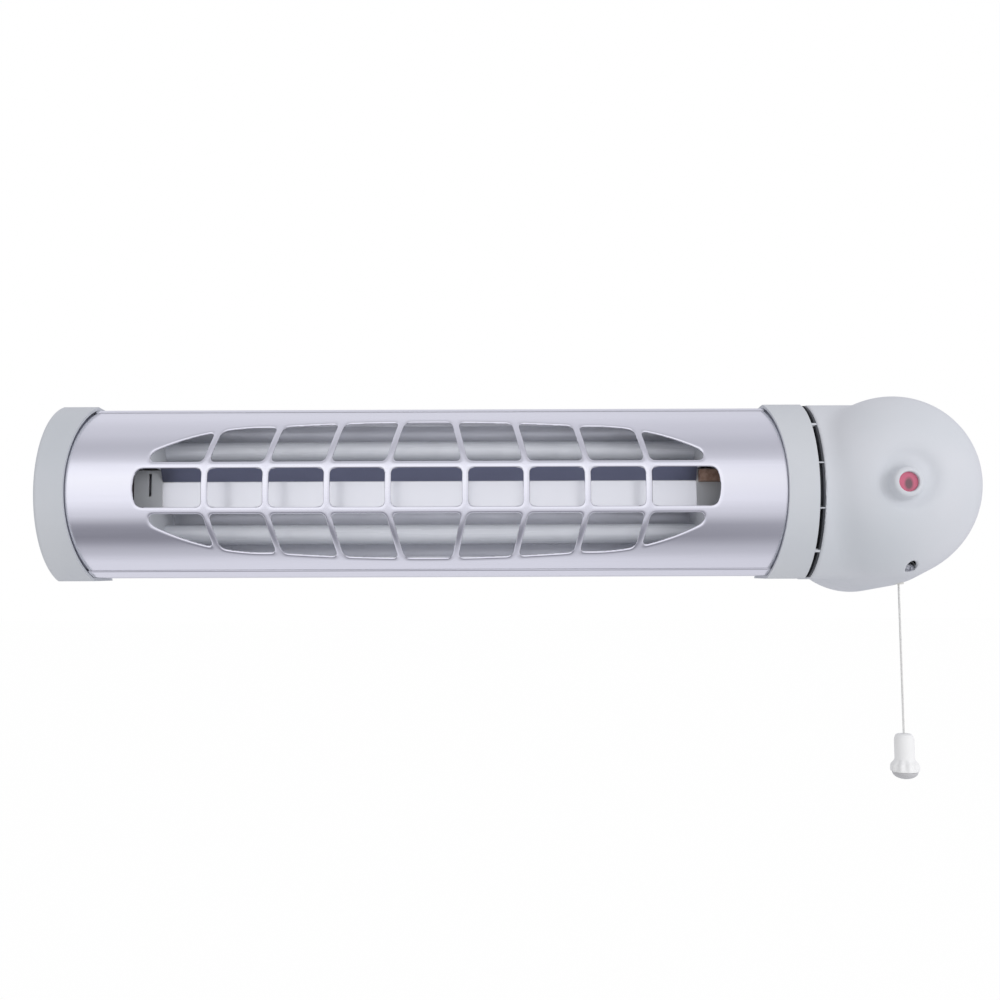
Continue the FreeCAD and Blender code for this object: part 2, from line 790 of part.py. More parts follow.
# Right end cap: a cup with the hollow spigot that turns in the neck
right_form = d_body(
    "right_form",
    f"({LAMP_RIGHT} - {CAP_LENGTH})",
    LAMP_RIGHT,
    "cap_radius",
    CAP_HALF,
    "cap_back",
)
right_space = d_body(
    "right_space",
    f"({LAMP_RIGHT} - {CAP_LENGTH})",
    f"({LAMP_RIGHT} - cap_wall)",
    "cap_radius - cap_wall",
    f"{CAP_HALF} - cap_wall",
    "cap_back - cap_wall",
)
right_rim = rod(
    "right_rim",
    "Y",
    "cap_rim_radius",
    "-axis_depth - 2 * cap_radius",
    "-axis_depth + cap_radius",
    f"{LAMP_RIGHT} - cap_reach - cap_rim_radius",
    "0",
)
spigot = rod("spigot", "X", "spigot_radius", LAMP_RIGHT, SPIGOT_END, "-axis_depth", "0")
spigot_bore = rod(
    "spigot_bore", "X", "spigot_bore", f"{LAMP_RIGHT} - cap_wall", SPIGOT_END, "-axis_depth", "0"
)


# Screws through the backs of the caps into the shell
cap_screw_spots = [
    (end, x, side, f"{sign} * cap_screw_rise")
    for end, x in (
        ("left", f"({LAMP_LEFT} + cap_screw_inset)"),
        ("right", f"({LAMP_RIGHT} - cap_screw_inset)"),
    )
    for side, sign in (("high", 1), ("low", -1))
]


def cap_screw_hole(end, x, side, z):
    return rod(
        f"cap_screw_hole_{end}_{side}",
        "Y",
        "cap_screw_shank + shaft_gap",
        f"{CAP_BACK_Y} - cap_screw_length",
        CAP_BACK_Y,
        x,
        z,
    )


def cap_screw(end, x, side, z):
    name = f"cap_screw_{end}_{side}"
    head = rod(
        name + "_head", "Y", "cap_screw_head", CAP_BACK_Y, f"{CAP_BACK_Y} + cap_screw_head_depth", x, z
    )
    shank = rod(
        name + "_shank", "Y", "cap_screw_shank", f"{CAP_BACK_Y} - cap_screw_length", CAP_BACK_Y, x, z
    )
    return fuse(name, head, shank)


screw_holes = {spot[:3:2]: cap_screw_hole(*spot) for spot in cap_screw_spots}
piece("end_cap_screws", fuse("end_cap_screws", *(cap_screw(*spot) for spot in cap_screw_spots)))
left_holes = [screw_holes["left", "high"], screw_holes["left", "low"]]
right_holes = [screw_holes["right", "high"], screw_holes["right", "low"]]
piece(
    "left_end_cap",
    cut("left_end_cap", left_form, left_space, left_rim, left_hole, *left_holes),
)
right_cup = cut("right_cup", right_form, right_space, right_rim)
right_joined = fuse("right_joined", right_cup, spigot)
piece("right_end_cap", cut("right_end_cap", right_joined, spigot_bore, *right_holes))
piece("rear_shell", cut("rear_shell", folded_shell, *left_holes, *right_holes))

# Ring that keeps the spigot in the neck
clip_left = f"({NECK_FACE} + dome_wall + running_gap)"
clip_right = f"({clip_left} + clip_metal)"
clip = rod("clip", "X", "spigot_radius + clip_width", clip_left, clip_right, "-axis_depth", "0")
clip_eye = rod("clip_eye", "X", "spigot_radius + shaft_gap", clip_left, clip_right, "-axis_depth", "0")
piece("spigot_clip", cut("spigot_clip", clip, clip_eye))

# Bush, screw and bracket at the far end
bush_left = f"({ARM_RIGHT} + running_gap)"
bush_right = f"({LAMP_LEFT} + cap_wall + bush_tail)"
bush_tube = rod("bush_tube", "X", BUSH_RADIUS, bush_left, bush_right, "-axis_depth", "0")
bush_collar = rod("bush_collar", "X", f"{BUSH_RADIUS} + bush_lip", bush_left, LAMP_LEFT, "-axis_depth", "0")
bush_eye = rod(
    "bush_eye", "X", "pivot_radius + shaft_gap", bush_left, bush_right, "-axis_depth", "0"
)
piece("pivot_bush", cut("pivot_bush", fuse("bush_joined", bush_tube, bush_collar), bush_eye))

pivot_head = rod(
    "pivot_head", "X", "pivot_head", f"{ARM_LEFT} - pivot_head_depth", ARM_LEFT, "-axis_depth", "0"
)
pivot_shank = rod("pivot_shank", "X", "pivot_radius", ARM_LEFT, bush_right, "-axis_depth", "0")
piece("pivot_screw", fuse("pivot_screw", pivot_head, pivot_shank))

arm_plate = box(
    "arm_plate", (ARM_LEFT, ARM_RIGHT), ("-axis_depth", "0"), ("-bracket_arm", "bracket_arm")
)
arm_end = rod("arm_end", "X", "bracket_arm", ARM_LEFT, ARM_RIGHT, "-axis_depth", "0")
foot = box(
    "foot",
    (ARM_LEFT, f"{ARM_LEFT} + bracket_foot_width"),
    ("-bracket_metal", "0"),
    ("-bracket_foot_rise", "bracket_foot_rise"),
)
arm_eye = rod("arm_eye", "X", "pivot_radius + shaft_gap", ARM_LEFT, ARM_RIGHT, "-axis_depth", "0")
foot_holes = [
    rod(f"foot_hole_{name}", "Y", "wall_screw_radius", "-bracket_metal", "0", FOOT_SCREW_X, height)
    for name, height in (("high", "screw_rise"), ("low", "-screw_rise"))
]
bracket = fuse("bracket_joined", arm_plate, arm_end, foot)
piece("left_bracket", cut("left_bracket", bracket, arm_eye, *foot_holes))


def d_face(x, inset):
    """The lamp's D section as a face across the tilt axis."""
    radius = num("cap_radius") - inset
    half = num(CAP_HALF) - inset
    back = num("cap_back") - inset
    crease = -math.sqrt(radius ** 2 - half ** 2)

    def spot(y, z):
        return Vector(x, y - num("axis_depth"), z)

    return face_of(
        arc(spot(crease, half), spot(-radius, 0), spot(crease, -half)),
        line(spot(crease, -half), spot(back, -half)),
        line(spot(back, -half), spot(back, half)),
        line(spot(back, half), spot(crease, half)),
    )


# Slotted collar on the neck, in the gap that the lamp turns in
def swivel_collar():
    face_x = num(NECK_FACE)
    plate_x = face_x - num("collar_plate")
    front_x = face_x - num("swivel_gap") + num("running_gap")
    axis_y = -num("axis_depth")
    centre = Vector(plate_x, axis_y, 0)
    along = Vector(1, 0, 0)
    inset = num("collar_inset")
    outer = num("cap_radius") - inset
    ring_outer = outer - num("collar_ring_inset")
    ring_inner = ring_outer - num("collar_ring_wall")
    half_front = num("collar_front_degrees")
    half_rib = math.degrees(num("collar_rib_width") / 2 / outer)
    plate = d_face(plate_x, inset).extrude(along * num("collar_plate"))
    eye = Part.makeCylinder(num("spigot_radius + collar_eye_gap"), num("collar_plate"), centre, along)
    limit = d_face(front_x, inset).extrude(along * (face_x - front_x))
    walls = [ring_sector(front_x, face_x, ring_inner, ring_outer, 0, half_front)]
    rib_turn = half_front + half_rib
    while rib_turn < 90:
        for turn in (rib_turn, -rib_turn):
            rib = ring_sector(front_x, face_x, ring_inner, outer, turn, half_rib)
            walls.append(rib.common(limit))
        rib_turn += num("collar_rib_degrees")
    return plate.cut(eye).fuse(walls).removeSplitter().Solids[0]


shaped("swivel_collar", swivel_collar())


# Control head: a leaning dome, drawn as a turned form and sheared so that its front stands higher
def turned_dome(inset, rear):
    """The dome from its crown back to a plane behind the tilt axis, inset for its inside."""
    radius = num("dome_radius") - inset
    shoulder = num("dome_shoulder") - inset
    crown = num("dome_crown") - inset
    front = num("dome_front") - inset
    taper = (num("wall_radius") - num("dome_radius")) / num("axis_depth")
    shoulder_r = radius - shoulder
    crown_y = crown - front
    shoulder_y = crown_y - math.sqrt((crown - shoulder) ** 2 - shoulder_r ** 2)
    swing = math.atan2(shoulder_r, crown_y - shoulder_y)

    def spot(y, r):
        return Vector(-r, y, 0)

    def crown_spot(turn):
        return spot(crown_y - crown * math.cos(turn), crown * math.sin(turn))

    def shoulder_spot(turn):
        return spot(shoulder_y - shoulder * math.cos(turn), shoulder_r + shoulder * math.sin(turn))

    right_angle = math.pi / 2
    section = face_of(
        arc(crown_spot(0), crown_spot(swing / 2), crown_spot(swing)),
        arc(shoulder_spot(swing), shoulder_spot((swing + right_angle) / 2), shoulder_spot(right_angle)),
        line(spot(shoulder_y, radius), spot(0, radius)),
        line(spot(0, radius), spot(rear, radius + taper * rear)),
        line(spot(rear, radius + taper * rear), spot(rear, 0)),
        line(spot(rear, 0), spot(-front, 0)),
    )
    solid = section.revolve(Vector(), Vector(0, 1, 0), 360)
    lean = num("dome_lean_slope")
    shear = Matrix(
        1, 0, 0, num(HEAD_X),
        0, 1, 0, -num("axis_depth"),
        0, -lean, 1, -num("dome_drop"),
        0, 0, 0, 1,
    )
    return solid.transformGeometry(shear)


def neck_form(inset, left):
    """The D-shaped neck, its rear rounded off around the head."""
    radius = num("cap_radius") - inset
    half = num(CAP_HALF) - inset
    back = num("cap_back") - inset
    axis_y = -num("axis_depth")
    middle = num(HEAD_X)
    crease = -math.sqrt(radius ** 2 - half ** 2)

    def drum_spot(x, z):
        return Vector(x, axis_y + crease, z)

    drum_face = face_of(
        line(drum_spot(left, -half), drum_spot(middle, -half)),
        arc(drum_spot(middle, -half), drum_spot(middle + half, 0), drum_spot(middle, half)),
        line(drum_spot(middle, half), drum_spot(left, half)),
        line(drum_spot(left, half), drum_spot(left, -half)),
    )
    block = d_face(left, inset).extrude(Vector(middle - left, 0, 0))
    drum = drum_face.extrude(Vector(0, back - crease, 0))
    return block.fuse(drum).removeSplitter()


def right_of(x):
    """A large block to the right of a plane, to keep only that side of a form."""
    span = num("lamp_length")
    return Part.makeBox(span, span, span, Vector(x, -span / 2, -span / 2))


def y_rod(radius, low, high, x, z):
    return Part.makeCylinder(radius, high - low, Vector(x, low, z), Vector(0, 1, 0))


def head_cover():
    wall = num("dome_wall")
    left = num(NECK_FACE)
    rear = num("axis_depth") - num("parting_depth")
    outside = turned_dome(0, rear).common(right_of(left)).fuse(neck_form(0, left))
    inside = turned_dome(wall, rear).common(right_of(left + wall)).fuse(neck_form(wall, left + wall))
    pilot_x = num(PILOT_X)
    rim_y = num(PILOT_RIM_Y)
    base_y = num(LENS_BACK)
    collar = Part.makeCone(
        num("pilot_base_radius"),
        num("pilot_rim_radius"),
        base_y - rim_y,
        Vector(pilot_x, base_y, 0),
        Vector(0, -1, 0),
    )
    seat_y = num(SCREW_SEAT)
    screw_x, screw_z = num(COVER_SCREW_X), num(COVER_SCREW_Z)
    post_y = num(POST_FRONT)
    boss = y_rod(num("screw_recess + screw_boss_wall"), seat_y, post_y, screw_x, screw_z)
    boss = boss.common(turned_dome(0, rear))
    gap = num("shaft_gap")
    openings = [
        y_rod(num("lens_radius") + gap, rim_y, base_y, pilot_x, 0),
        y_rod(num("screw_recess"), rim_y, seat_y, screw_x, screw_z),
        y_rod(num("cover_screw_shank") + gap, seat_y, post_y, screw_x, screw_z),
        Part.makeCylinder(
            num(CORD_BUSH_RADIUS) + gap,
            num(CORD_BUSH_HIGH) - num(CORD_HOLE_LOW),
            Vector(num(CORD_X), num(CORD_Y), num(CORD_HOLE_LOW)),
        ),
        Part.makeCylinder(
            num("spigot_radius") + gap,
            2 * wall,
            Vector(left, -num("axis_depth"), 0),
            Vector(1, 0, 0),
        ),
    ]
    flange = y_rod(num(LENS_FLANGE) + gap, base_y - num("lens_lip_depth"), base_y, pilot_x, 0)
    shell_solid = outside.cut(inside).fuse([collar, boss])
    return shell_solid.cut(openings + [flange]).removeSplitter().Solids[0]


def wall_base():
    left = num(NECK_FACE)
    floor = num("tray_floor")
    wall = num("dome_wall")
    depth = num("axis_depth")
    parting = -num("parting_depth")
    span = num("lamp_length")
    behind = Part.makeBox(span, -parting, span, Vector(left, parting, -span / 2))
    hollow = Part.makeBox(span, -parting - floor, span, Vector(left + wall, parting, -span / 2))
    tray = turned_dome(0, depth + floor).common(behind)
    tray = tray.cut(turned_dome(wall, depth).common(hollow))
    post_y = num(POST_FRONT)
    switch_y = num(SWITCH_BACK)
    screw_x, screw_z = num(COVER_SCREW_X), num(COVER_SCREW_Z)
    cord_x = num(CORD_X)
    switch_z = (num("switch_low") + num("switch_high")) / 2
    posts = [y_rod(num("cover_screw_shank + post_wall"), post_y, -floor, screw_x, screw_z)]
    for x in (cord_x, cord_x - num("lever_arm")):
        posts.append(y_rod(num("switch_post"), switch_y, -floor, x, switch_z))
    bores = [
        y_rod(num("wall_screw_radius"), -floor, 0, num(HEAD_SCREW_X), num("screw_rise")),
        y_rod(num("wall_screw_radius"), -floor, 0, num(HEAD_SCREW_X), -num("screw_rise")),
        y_rod(num(INLET_RADIUS) + num("shaft_gap"), -floor, 0, num(INLET_X), -num("inlet_drop")),
        y_rod(
            num("cover_screw_shank") + num("shaft_gap"),
            post_y,
            num(SCREW_SEAT) + num("cover_screw_length"),
            screw_x,
            screw_z,
        ),
    ]
    return tray.fuse(posts).cut(bores).removeSplitter().Solids[0]


shaped("head_cover", head_cover())
shaped("wall_base", wall_base())

screw_head = rod(
    "screw_head",
    "Y",
    "cover_screw_head",
    f"{SCREW_SEAT} - cover_screw_head_depth",
    SCREW_SEAT,
    COVER_SCREW_X,
    COVER_SCREW_Z,
)
screw_shank = rod(
    "screw_shank",
    "Y",
    "cover_screw_shank",
    SCREW_SEAT,
    f"{SCREW_SEAT} + cover_screw_length",
    COVER_SCREW_X,
    COVER_SCREW_Z,
)
piece("cover_screw", fuse("cover_screw", screw_head, screw_shank))

# Pilot light: lens, lamp and the cup that holds them
lens_barrel = rod("lens_barrel", "Y", "lens_radius", LENS_FACE, LENS_BACK, PILOT_X, "0")
lens_rim = rod(
    "lens_rim", "Y", LENS_FLANGE, f"{LENS_BACK} - lens_lip_depth", LENS_BACK, PILOT_X, "0"
)
piece("pilot_lens", fuse("pilot_lens", lens_barrel, lens_rim))
HOLDER_BACK = f"({LENS_BACK} + holder_depth)"
holder_cup = rod("holder_cup", "Y", f"{LENS_FLANGE} + holder_lip", LENS_BACK, HOLDER_BACK, PILOT_X, "0")
holder_space = rod(
    "holder_space",
    "Y",
    f"{LENS_FLANGE} + holder_lip - holder_wall",
    LENS_BACK,
    f"{HOLDER_BACK} - holder_wall",
    PILOT_X,
    "0",
)
NEON_FRONT = f"({LENS_BACK} + running_gap + neon_radius)"
holder_eye = rod(
    "holder_eye", "Y", "neon_radius + shaft_gap", LENS_BACK, HOLDER_BACK, PILOT_X, "0"
)
piece("lamp_holder", cut("lamp_holder", holder_cup, holder_space, holder_eye))
neon_tube = rod("neon_tube", "Y", "neon_radius", NEON_FRONT, HOLDER_BACK, PILOT_X, "0")
neon_tip = doc.addObject("Part::Sphere", "neon_tip")
bind(neon_tip, "Radius", "neon_radius")
place(neon_tip, PILOT_X, NEON_FRONT, "0")
piece("neon_lamp", fuse("neon_lamp", neon_tube, neon_tip))

# Pull switch: an open case with its pin, the plunger, the rocker and the return spring
PIN_X = f"({CORD_X} - lever_arm)"
LEVER_TOP = "(plunger_collar_low - running_gap)"
PIN_Z = f"({LEVER_TOP} - lever_drop)"
SWITCH_FLOOR = "(switch_low + switch_wall)"
case = box(
    "case",
    (f"{CORD_X} - switch_left", f"{CORD_X} + switch_right"),
    (SWITCH_FRONT, SWITCH_BACK),
    ("switch_low", "switch_high"),
)
case_space = box(
    "case_space",
    (f"{CORD_X} - switch_left + switch_wall", f"{CORD_X} + switch_right - switch_wall"),
    (SWITCH_FRONT, f"{SWITCH_BACK} - switch_wall"),
    (SWITCH_FLOOR, "switch_high - switch_wall"),
)
case_hole = rod(
    "case_hole", "Z", "plunger_radius + shaft_gap", "switch_low", SWITCH_FLOOR, CORD_X, CORD_Y
)
case_pin = rod("case_pin", "Y", "lever_pin", SWITCH_FRONT, SWITCH_BACK, PIN_X, PIN_Z)
hollow_case = cut("hollow_case", case, case_space, case_hole)
piece("switch_body", fuse("switch_body", hollow_case, case_pin))
tabs = [
    box(
        f"tab_{name}",
        (f"{CORD_X} - {place_x} - tab_width / 2", f"{CORD_X} - {place_x} + tab_width / 2"),
        (f"{CORD_Y} - tab_metal / 2", f"{CORD_Y} + tab_metal / 2"),
        ("switch_high", "switch_high + tab_height"),
    )
    for name, place_x in (("near", "0"), ("far", "lever_arm"))
]
piece("switch_terminals", fuse("switch_terminals", *tabs))

plunger_low = "(switch_low - plunger_tail)"
plunger_high = "(plunger_collar_low + plunger_collar_depth + plunger_head)"
plunger_rod = rod("plunger_rod", "Z", "plunger_radius", plunger_low, plunger_high, CORD_X, CORD_Y)
plunger_disc = rod(
    "plunger_disc",
    "Z",
    "plunger_collar",
    "plunger_collar_low",
    "plunger_collar_low + plunger_collar_depth",
    CORD_X,
    CORD_Y,
)
piece("switch_plunger", fuse("switch_plunger", plunger_rod, plunger_disc))
coil_spring = rod("coil_spring", "Z", "spring_radius", SWITCH_FLOOR, "plunger_collar_low", CORD_X, CORD_Y)
spring_core = rod(
    "spring_core",
    "Z",
    "spring_radius - spring_wire",
    SWITCH_FLOOR,
    "plunger_collar_low",
    CORD_X,
    CORD_Y,
)
piece("return_spring", cut("return_spring", coil_spring, spring_core))

LEVER_WIDTH = (f"{CORD_Y} - lever_half_width", f"{CORD_Y} + lever_half_width")
lever_bar = box(
    "lever_bar",
    (f"{PIN_X} - lever_tail", f"{CORD_X} - lever_tip_gap"),
    LEVER_WIDTH,
    (f"{LEVER_TOP} - lever_depth", LEVER_TOP),
)
lever_hub = rod("lever_hub", "Y", "lever_hub", *LEVER_WIDTH, PIN_X, PIN_Z)
lever_eye = rod("lever_eye", "Y", "lever_pin + shaft_gap", *LEVER_WIDTH, PIN_X, PIN_Z)
piece("switch_lever", cut("switch_lever", fuse("lever_joined", lever_bar, lever_hub), lever_eye))

# Cord bush in the underside of the cover
bush_neck = rod(
    "bush_neck", "Z", CORD_BUSH_RADIUS, CORD_BUSH_LOW, CORD_BUSH_HIGH, CORD_X, CORD_Y
)
bush_rim = rod(
    "bush_rim",
    "Z",
    f"{CORD_BUSH_RADIUS} + cord_bush_lip",
    CORD_BUSH_HIGH,
    f"{CORD_BUSH_HIGH} + cord_bush_rim",
    CORD_X,
    CORD_Y,
)
bush_way = rod(
    "bush_way",
    "Z",
    "cord_bore",
    CORD_BUSH_LOW,
    f"{CORD_BUSH_HIGH} + cord_bush_rim",
    CORD_X,
    CORD_Y,
)
piece("cord_bush", cut("cord_bush", fuse("cord_bush_joined", bush_neck, bush_rim), bush_way))

# Pull cord, from the plunger down into the knob
piece(
    "pull_cord",
    rod("pull_cord", "Z", "cord_radius", f"{KNOB_TOP} - knob_socket", plunger_low, CORD_X, CORD_Y),
)


# Knob: a fluted bell and the plug that closes it from below
def turned(spots):
    """A form turned about the cord from its height and radius at each corner."""
    points = [Vector(radius, 0, height) for height, radius in spots]
    outline = Part.Face(Part.makePolygon(points + points[:1]))
    solid = outline.revolve(Vector(), Vector(0, 0, 1), 360)
    solid.translate(Vector(num(CORD_X), num(CORD_Y), 0))
    return solid


def knob_body():
    top = num(KNOB_TOP)
    flange_top = num(KNOB_FLANGE_TOP)
    low = num(KNOB_LOW)
    body_radius, flange_radius = num("knob_body_radius"), num("knob_flange_radius")
    bell = turned([
        (top, 0),
        (top, num("knob_neck_radius")),
        (top - num("knob_taper"), body_radius),
        (flange_top, body_radius),
        (flange_top - num("knob_flare"), flange_radius),
        (low, flange_radius),
        (low, 0),
    ])
    flute = num("knob_flute_radius")
    count = int(num("knob_flutes"))
    flutes = []
    for step in range(count):
        turn = 2 * math.pi * step / count
        x = num(CORD_X) + flange_radius * math.cos(turn)
        y = num(CORD_Y) + flange_radius * math.sin(turn)
        grip_low = low + num("knob_flange_depth") / 2
        flutes.append(Part.makeCylinder(flute, flange_top - grip_low, Vector(x, y, grip_low)))
    socket_low = top - num("knob_socket")
    socket = Part.makeCylinder(
        num("cord_radius") + num("shaft_gap"),
        num("knob_socket"),
        Vector(num(CORD_X), num(CORD_Y), socket_low),
    )
    return bell.cut(flutes + [socket]).Solids[0]


def knob_cap():
    low = num(KNOB_LOW)
    radius, bulge = num("knob_cap_radius"), num("knob_cap_bulge")
    ball = (radius ** 2 + bulge ** 2) / (2 * bulge)
    centre = Vector(num(CORD_X), num(CORD_Y), low - bulge + ball)
    below = Part.makeCylinder(radius, bulge, Vector(num(CORD_X), num(CORD_Y), low - bulge))
    return Part.makeSphere(ball, centre).common(below).Solids[0]


shaped("knob_body", knob_body())
shaped("knob_cap", knob_cap())

# Terminal block with its screws, and the cable inlet, on the floor of the tray
BLOCK_FRONT = "(-tray_floor - block_depth)"
block_blank = box(
    "block_blank",
    (f"{HEAD_SCREW_X} - block_half_width", f"{HEAD_SCREW_X} + block_half_width"),
    (BLOCK_FRONT, "-tray_floor"),
    ("-block_half_height", "block_half_height"),
)
block_holes = []
block_screws = []
for column in (-1, 0, 1):
    for line_name, sign in (("high", 1), ("low", -1)):
        spot = (f"{HEAD_SCREW_X} + {column} * block_pitch", f"{sign} * block_screw_rise")
        span = (BLOCK_FRONT, f"{BLOCK_FRONT} + block_screw_length")
        name = f"block_{column + 1}_{line_name}"
        block_holes.append(rod(name + "_hole", "Y", "block_screw_radius + shaft_gap", *span, *spot))
        block_screws.append(rod(name + "_screw", "Y", "block_screw_radius", *span, *spot))
piece("terminal_block", cut("terminal_block", block_blank, *block_holes))
piece("terminal_screws", fuse("terminal_screws", *block_screws))

inlet_neck = rod("inlet_neck", "Y", INLET_RADIUS, "-tray_floor", "0", INLET_X, "-inlet_drop")
inlet_rim = rod(
    "inlet_rim",
    "Y",
    f"{INLET_RADIUS} + inlet_lip",
    "-tray_floor - inlet_lip_depth",
    "-tray_floor",
    INLET_X,
    "-inlet_drop",
)
inlet_way = rod(
    "inlet_way", "Y", "inlet_bore", "-tray_floor - inlet_lip_depth", "0", INLET_X, "-inlet_drop"
)
piece("mains_grommet", cut("mains_grommet", fuse("inlet_joined", inlet_neck, inlet_rim), inlet_way))


# Wires: between the tube ends, through the spigot, and from the terminals to the switch
def lamp_leads():
    tail = num(CERAMIC_TAIL)
    middle = num(LAMP_CENTRE)
    rise, spread = num(TUBE_Z), num("lead_spread")
    axis_y, tube_y = -num("axis_depth"), num(TUBE_Y)
    bend, radius = num("lead_bend"), num("lead_radius")
    step = num("lead_tail")
    inner = num(SPIGOT_END)
    wires = []
    for sign in (1, -1):
        start = middle + tail
        wires.append(routed([
            Vector(start, tube_y, sign * rise),
            Vector(start + step, tube_y, sign * rise),
            Vector(start + step, axis_y, sign * spread),
            Vector(inner, axis_y, sign * spread),
        ], bend, radius))
    start = middle - tail
    wires.append(routed([
        Vector(start, tube_y, rise),
        Vector(start - step, tube_y, rise),
        Vector(start - step, tube_y, -rise),
        Vector(start, tube_y, -rise),
    ], bend, radius))
    return Part.makeCompound(wires)


def head_leads():
    bend, radius = num("lead_bend"), num("lead_radius")
    step = num("lead_tail")
    top = num("block_half_height")
    block_y = -num("tray_floor") - num("block_depth") / 2
    tab_top = num("switch_high") + num("tab_height")
    wires = []
    for column, tab in ((-1, num("lever_arm")), (1, 0)):
        block_x = num(HEAD_SCREW_X) + column * num("block_pitch")
        tab_x = num(CORD_X) - tab
        high = max(top, tab_top) + step
        wires.append(routed([
            Vector(block_x, block_y, top),
            Vector(block_x, block_y, high),
            Vector(tab_x, num(CORD_Y), high),
            Vector(tab_x, num(CORD_Y), tab_top),
        ], bend, radius))
    return Part.makeCompound(wires)


shaped("lamp_leads", lamp_leads())
shaped("head_leads", head_leads())

doc.recompute()
faults = [item.Name for item in doc.Objects if {"Invalid", "Error"} & set(item.State)]
for label, item in pieces.items():
    shape = item.Shape
    if shape.isNull() or not shape.isValid() or not shape.Solids:
        faults.append(label)
if faults:
    raise RuntimeError("these did not build: " + ", ".join(faults))

os.makedirs("parts", exist_ok=True)
for label, item in pieces.items():
    item.Shape.exportStep(os.path.join("parts", label + ".step"))
    print(label, len(item.Shape.Solids), round(item.Shape.Volume, 1))
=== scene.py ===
# %% [markdown]
# # An infrared heater for a bathroom wall
# Two things catch the eye on this heater: a long lamp housing of bright sheet metal between two
# plastic caps, and a domed control head that carries the lamp at one end. A knob hangs from the
# head on a thin cord.
# The solids of the construction are loaded first and are never moved. Every piece that is made
# here takes its place from them, in the same frame and in metres.

# %% Load the construction
import json
import math

import bmesh
import bpy
import numpy as np
from mathutils import Matrix, Vector

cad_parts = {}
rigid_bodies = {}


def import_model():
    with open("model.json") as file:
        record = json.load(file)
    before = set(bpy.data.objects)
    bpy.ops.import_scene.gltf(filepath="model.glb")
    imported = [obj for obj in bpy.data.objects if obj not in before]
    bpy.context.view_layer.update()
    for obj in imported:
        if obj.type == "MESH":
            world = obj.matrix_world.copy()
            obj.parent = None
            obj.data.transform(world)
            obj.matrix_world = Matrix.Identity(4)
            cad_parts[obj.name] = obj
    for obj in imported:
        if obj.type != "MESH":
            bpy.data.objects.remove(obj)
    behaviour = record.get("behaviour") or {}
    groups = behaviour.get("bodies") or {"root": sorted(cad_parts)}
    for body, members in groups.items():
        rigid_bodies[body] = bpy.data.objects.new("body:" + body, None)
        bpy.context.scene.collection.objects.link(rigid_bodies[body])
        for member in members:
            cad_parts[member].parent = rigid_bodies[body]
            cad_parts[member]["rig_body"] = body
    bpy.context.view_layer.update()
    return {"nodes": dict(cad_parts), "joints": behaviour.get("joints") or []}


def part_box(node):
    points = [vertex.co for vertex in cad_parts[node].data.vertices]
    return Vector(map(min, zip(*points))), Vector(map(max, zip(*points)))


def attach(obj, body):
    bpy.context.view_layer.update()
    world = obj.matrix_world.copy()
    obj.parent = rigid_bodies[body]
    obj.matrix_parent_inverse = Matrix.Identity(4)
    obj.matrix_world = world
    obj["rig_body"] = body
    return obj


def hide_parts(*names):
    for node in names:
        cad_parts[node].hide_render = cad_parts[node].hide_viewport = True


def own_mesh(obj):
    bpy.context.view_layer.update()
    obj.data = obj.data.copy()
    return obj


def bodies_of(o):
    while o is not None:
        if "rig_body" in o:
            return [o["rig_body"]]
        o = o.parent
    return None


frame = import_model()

NODES = frame["nodes"]
JOINTS = {joint["name"]: joint for joint in frame["joints"]}
MM = 0.001


def span(node):
    """Low and high corner of a solid's box, in millimetres."""
    return tuple(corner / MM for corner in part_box(node))


def in_scene(name, data):
    """A new object in the scene."""
    made = bpy.data.objects.new(name, data)
    bpy.context.scene.collection.objects.link(made)
    return made


print("solids loaded:", len(NODES))

# %% [markdown]
# ## The camera
# The photograph looks at the heater from the front, from a little below the middle and with the
# lens tipped up by a few degrees. A camera could be aimed by eye, but the lamp's two ends and the
# hanging knob fix its place, so it is written as a place, a tilt and a field of view.

# %% Camera
CAMERA_PLACE = Vector((14.7, -726.0, -62.4)) * MM
CAMERA_PITCH, CAMERA_ROLL = 95.0, -0.21
CAMERA_LENS, CAMERA_SENSOR, CAMERA_NEAR = 39.83, 36.0, 0.01

camera_data = bpy.data.cameras.new("camera")
camera_data.lens = CAMERA_LENS
camera_data.sensor_width = CAMERA_SENSOR
camera_data.clip_start = CAMERA_NEAR
camera = in_scene("camera", camera_data)
camera.matrix_world = (
    Matrix.Translation(CAMERA_PLACE)
    @ Matrix.Rotation(math.radians(CAMERA_PITCH), 4, "X")
    @ Matrix.Rotation(math.radians(CAMERA_ROLL), 4, "Z")
)
bpy.context.scene.camera = camera
bpy.context.scene.view_settings.view_transform = "Standard"
print("camera at", [round(v, 3) for v in camera.location])

# %% [markdown]
# ## Small helpers for node materials
# A finish is a Principled shader with a few nodes in front of it. Some helpers keep each finish
# short: they add a node and set its sockets, link sockets in pairs, and turn a screen colour, as
# one reads it off a picture, into the linear numbers that the shader wants.

# %% Node helpers
FINISHES = {}


def add_node(tree, kind, **settings):
    """Add a shader node; a setting is a socket's value or a property of the node."""
    made = tree.nodes.new("ShaderNode" + kind)
    for key, value in settings.items():
        socket = made.inputs.get(key.replace("_", " ").title())
        if socket is not None:
            socket.default_value = value
        else:
            setattr(made, key, value)
    return made


def connect(tree, *pairs):
    """Link sockets, each pair from an output to an input."""
    for source, target in pairs:
        tree.links.new(source, target)


def linear(colour):
    """Screen values from 0 to 255 as linear colour with full alpha."""
    channels = []
    for value in colour:
        share = value / 255
        channels.append(share / 12.92 if share <= 0.04045 else ((share + 0.055) / 1.055) ** 2.4)
    return (*channels, 1.0)


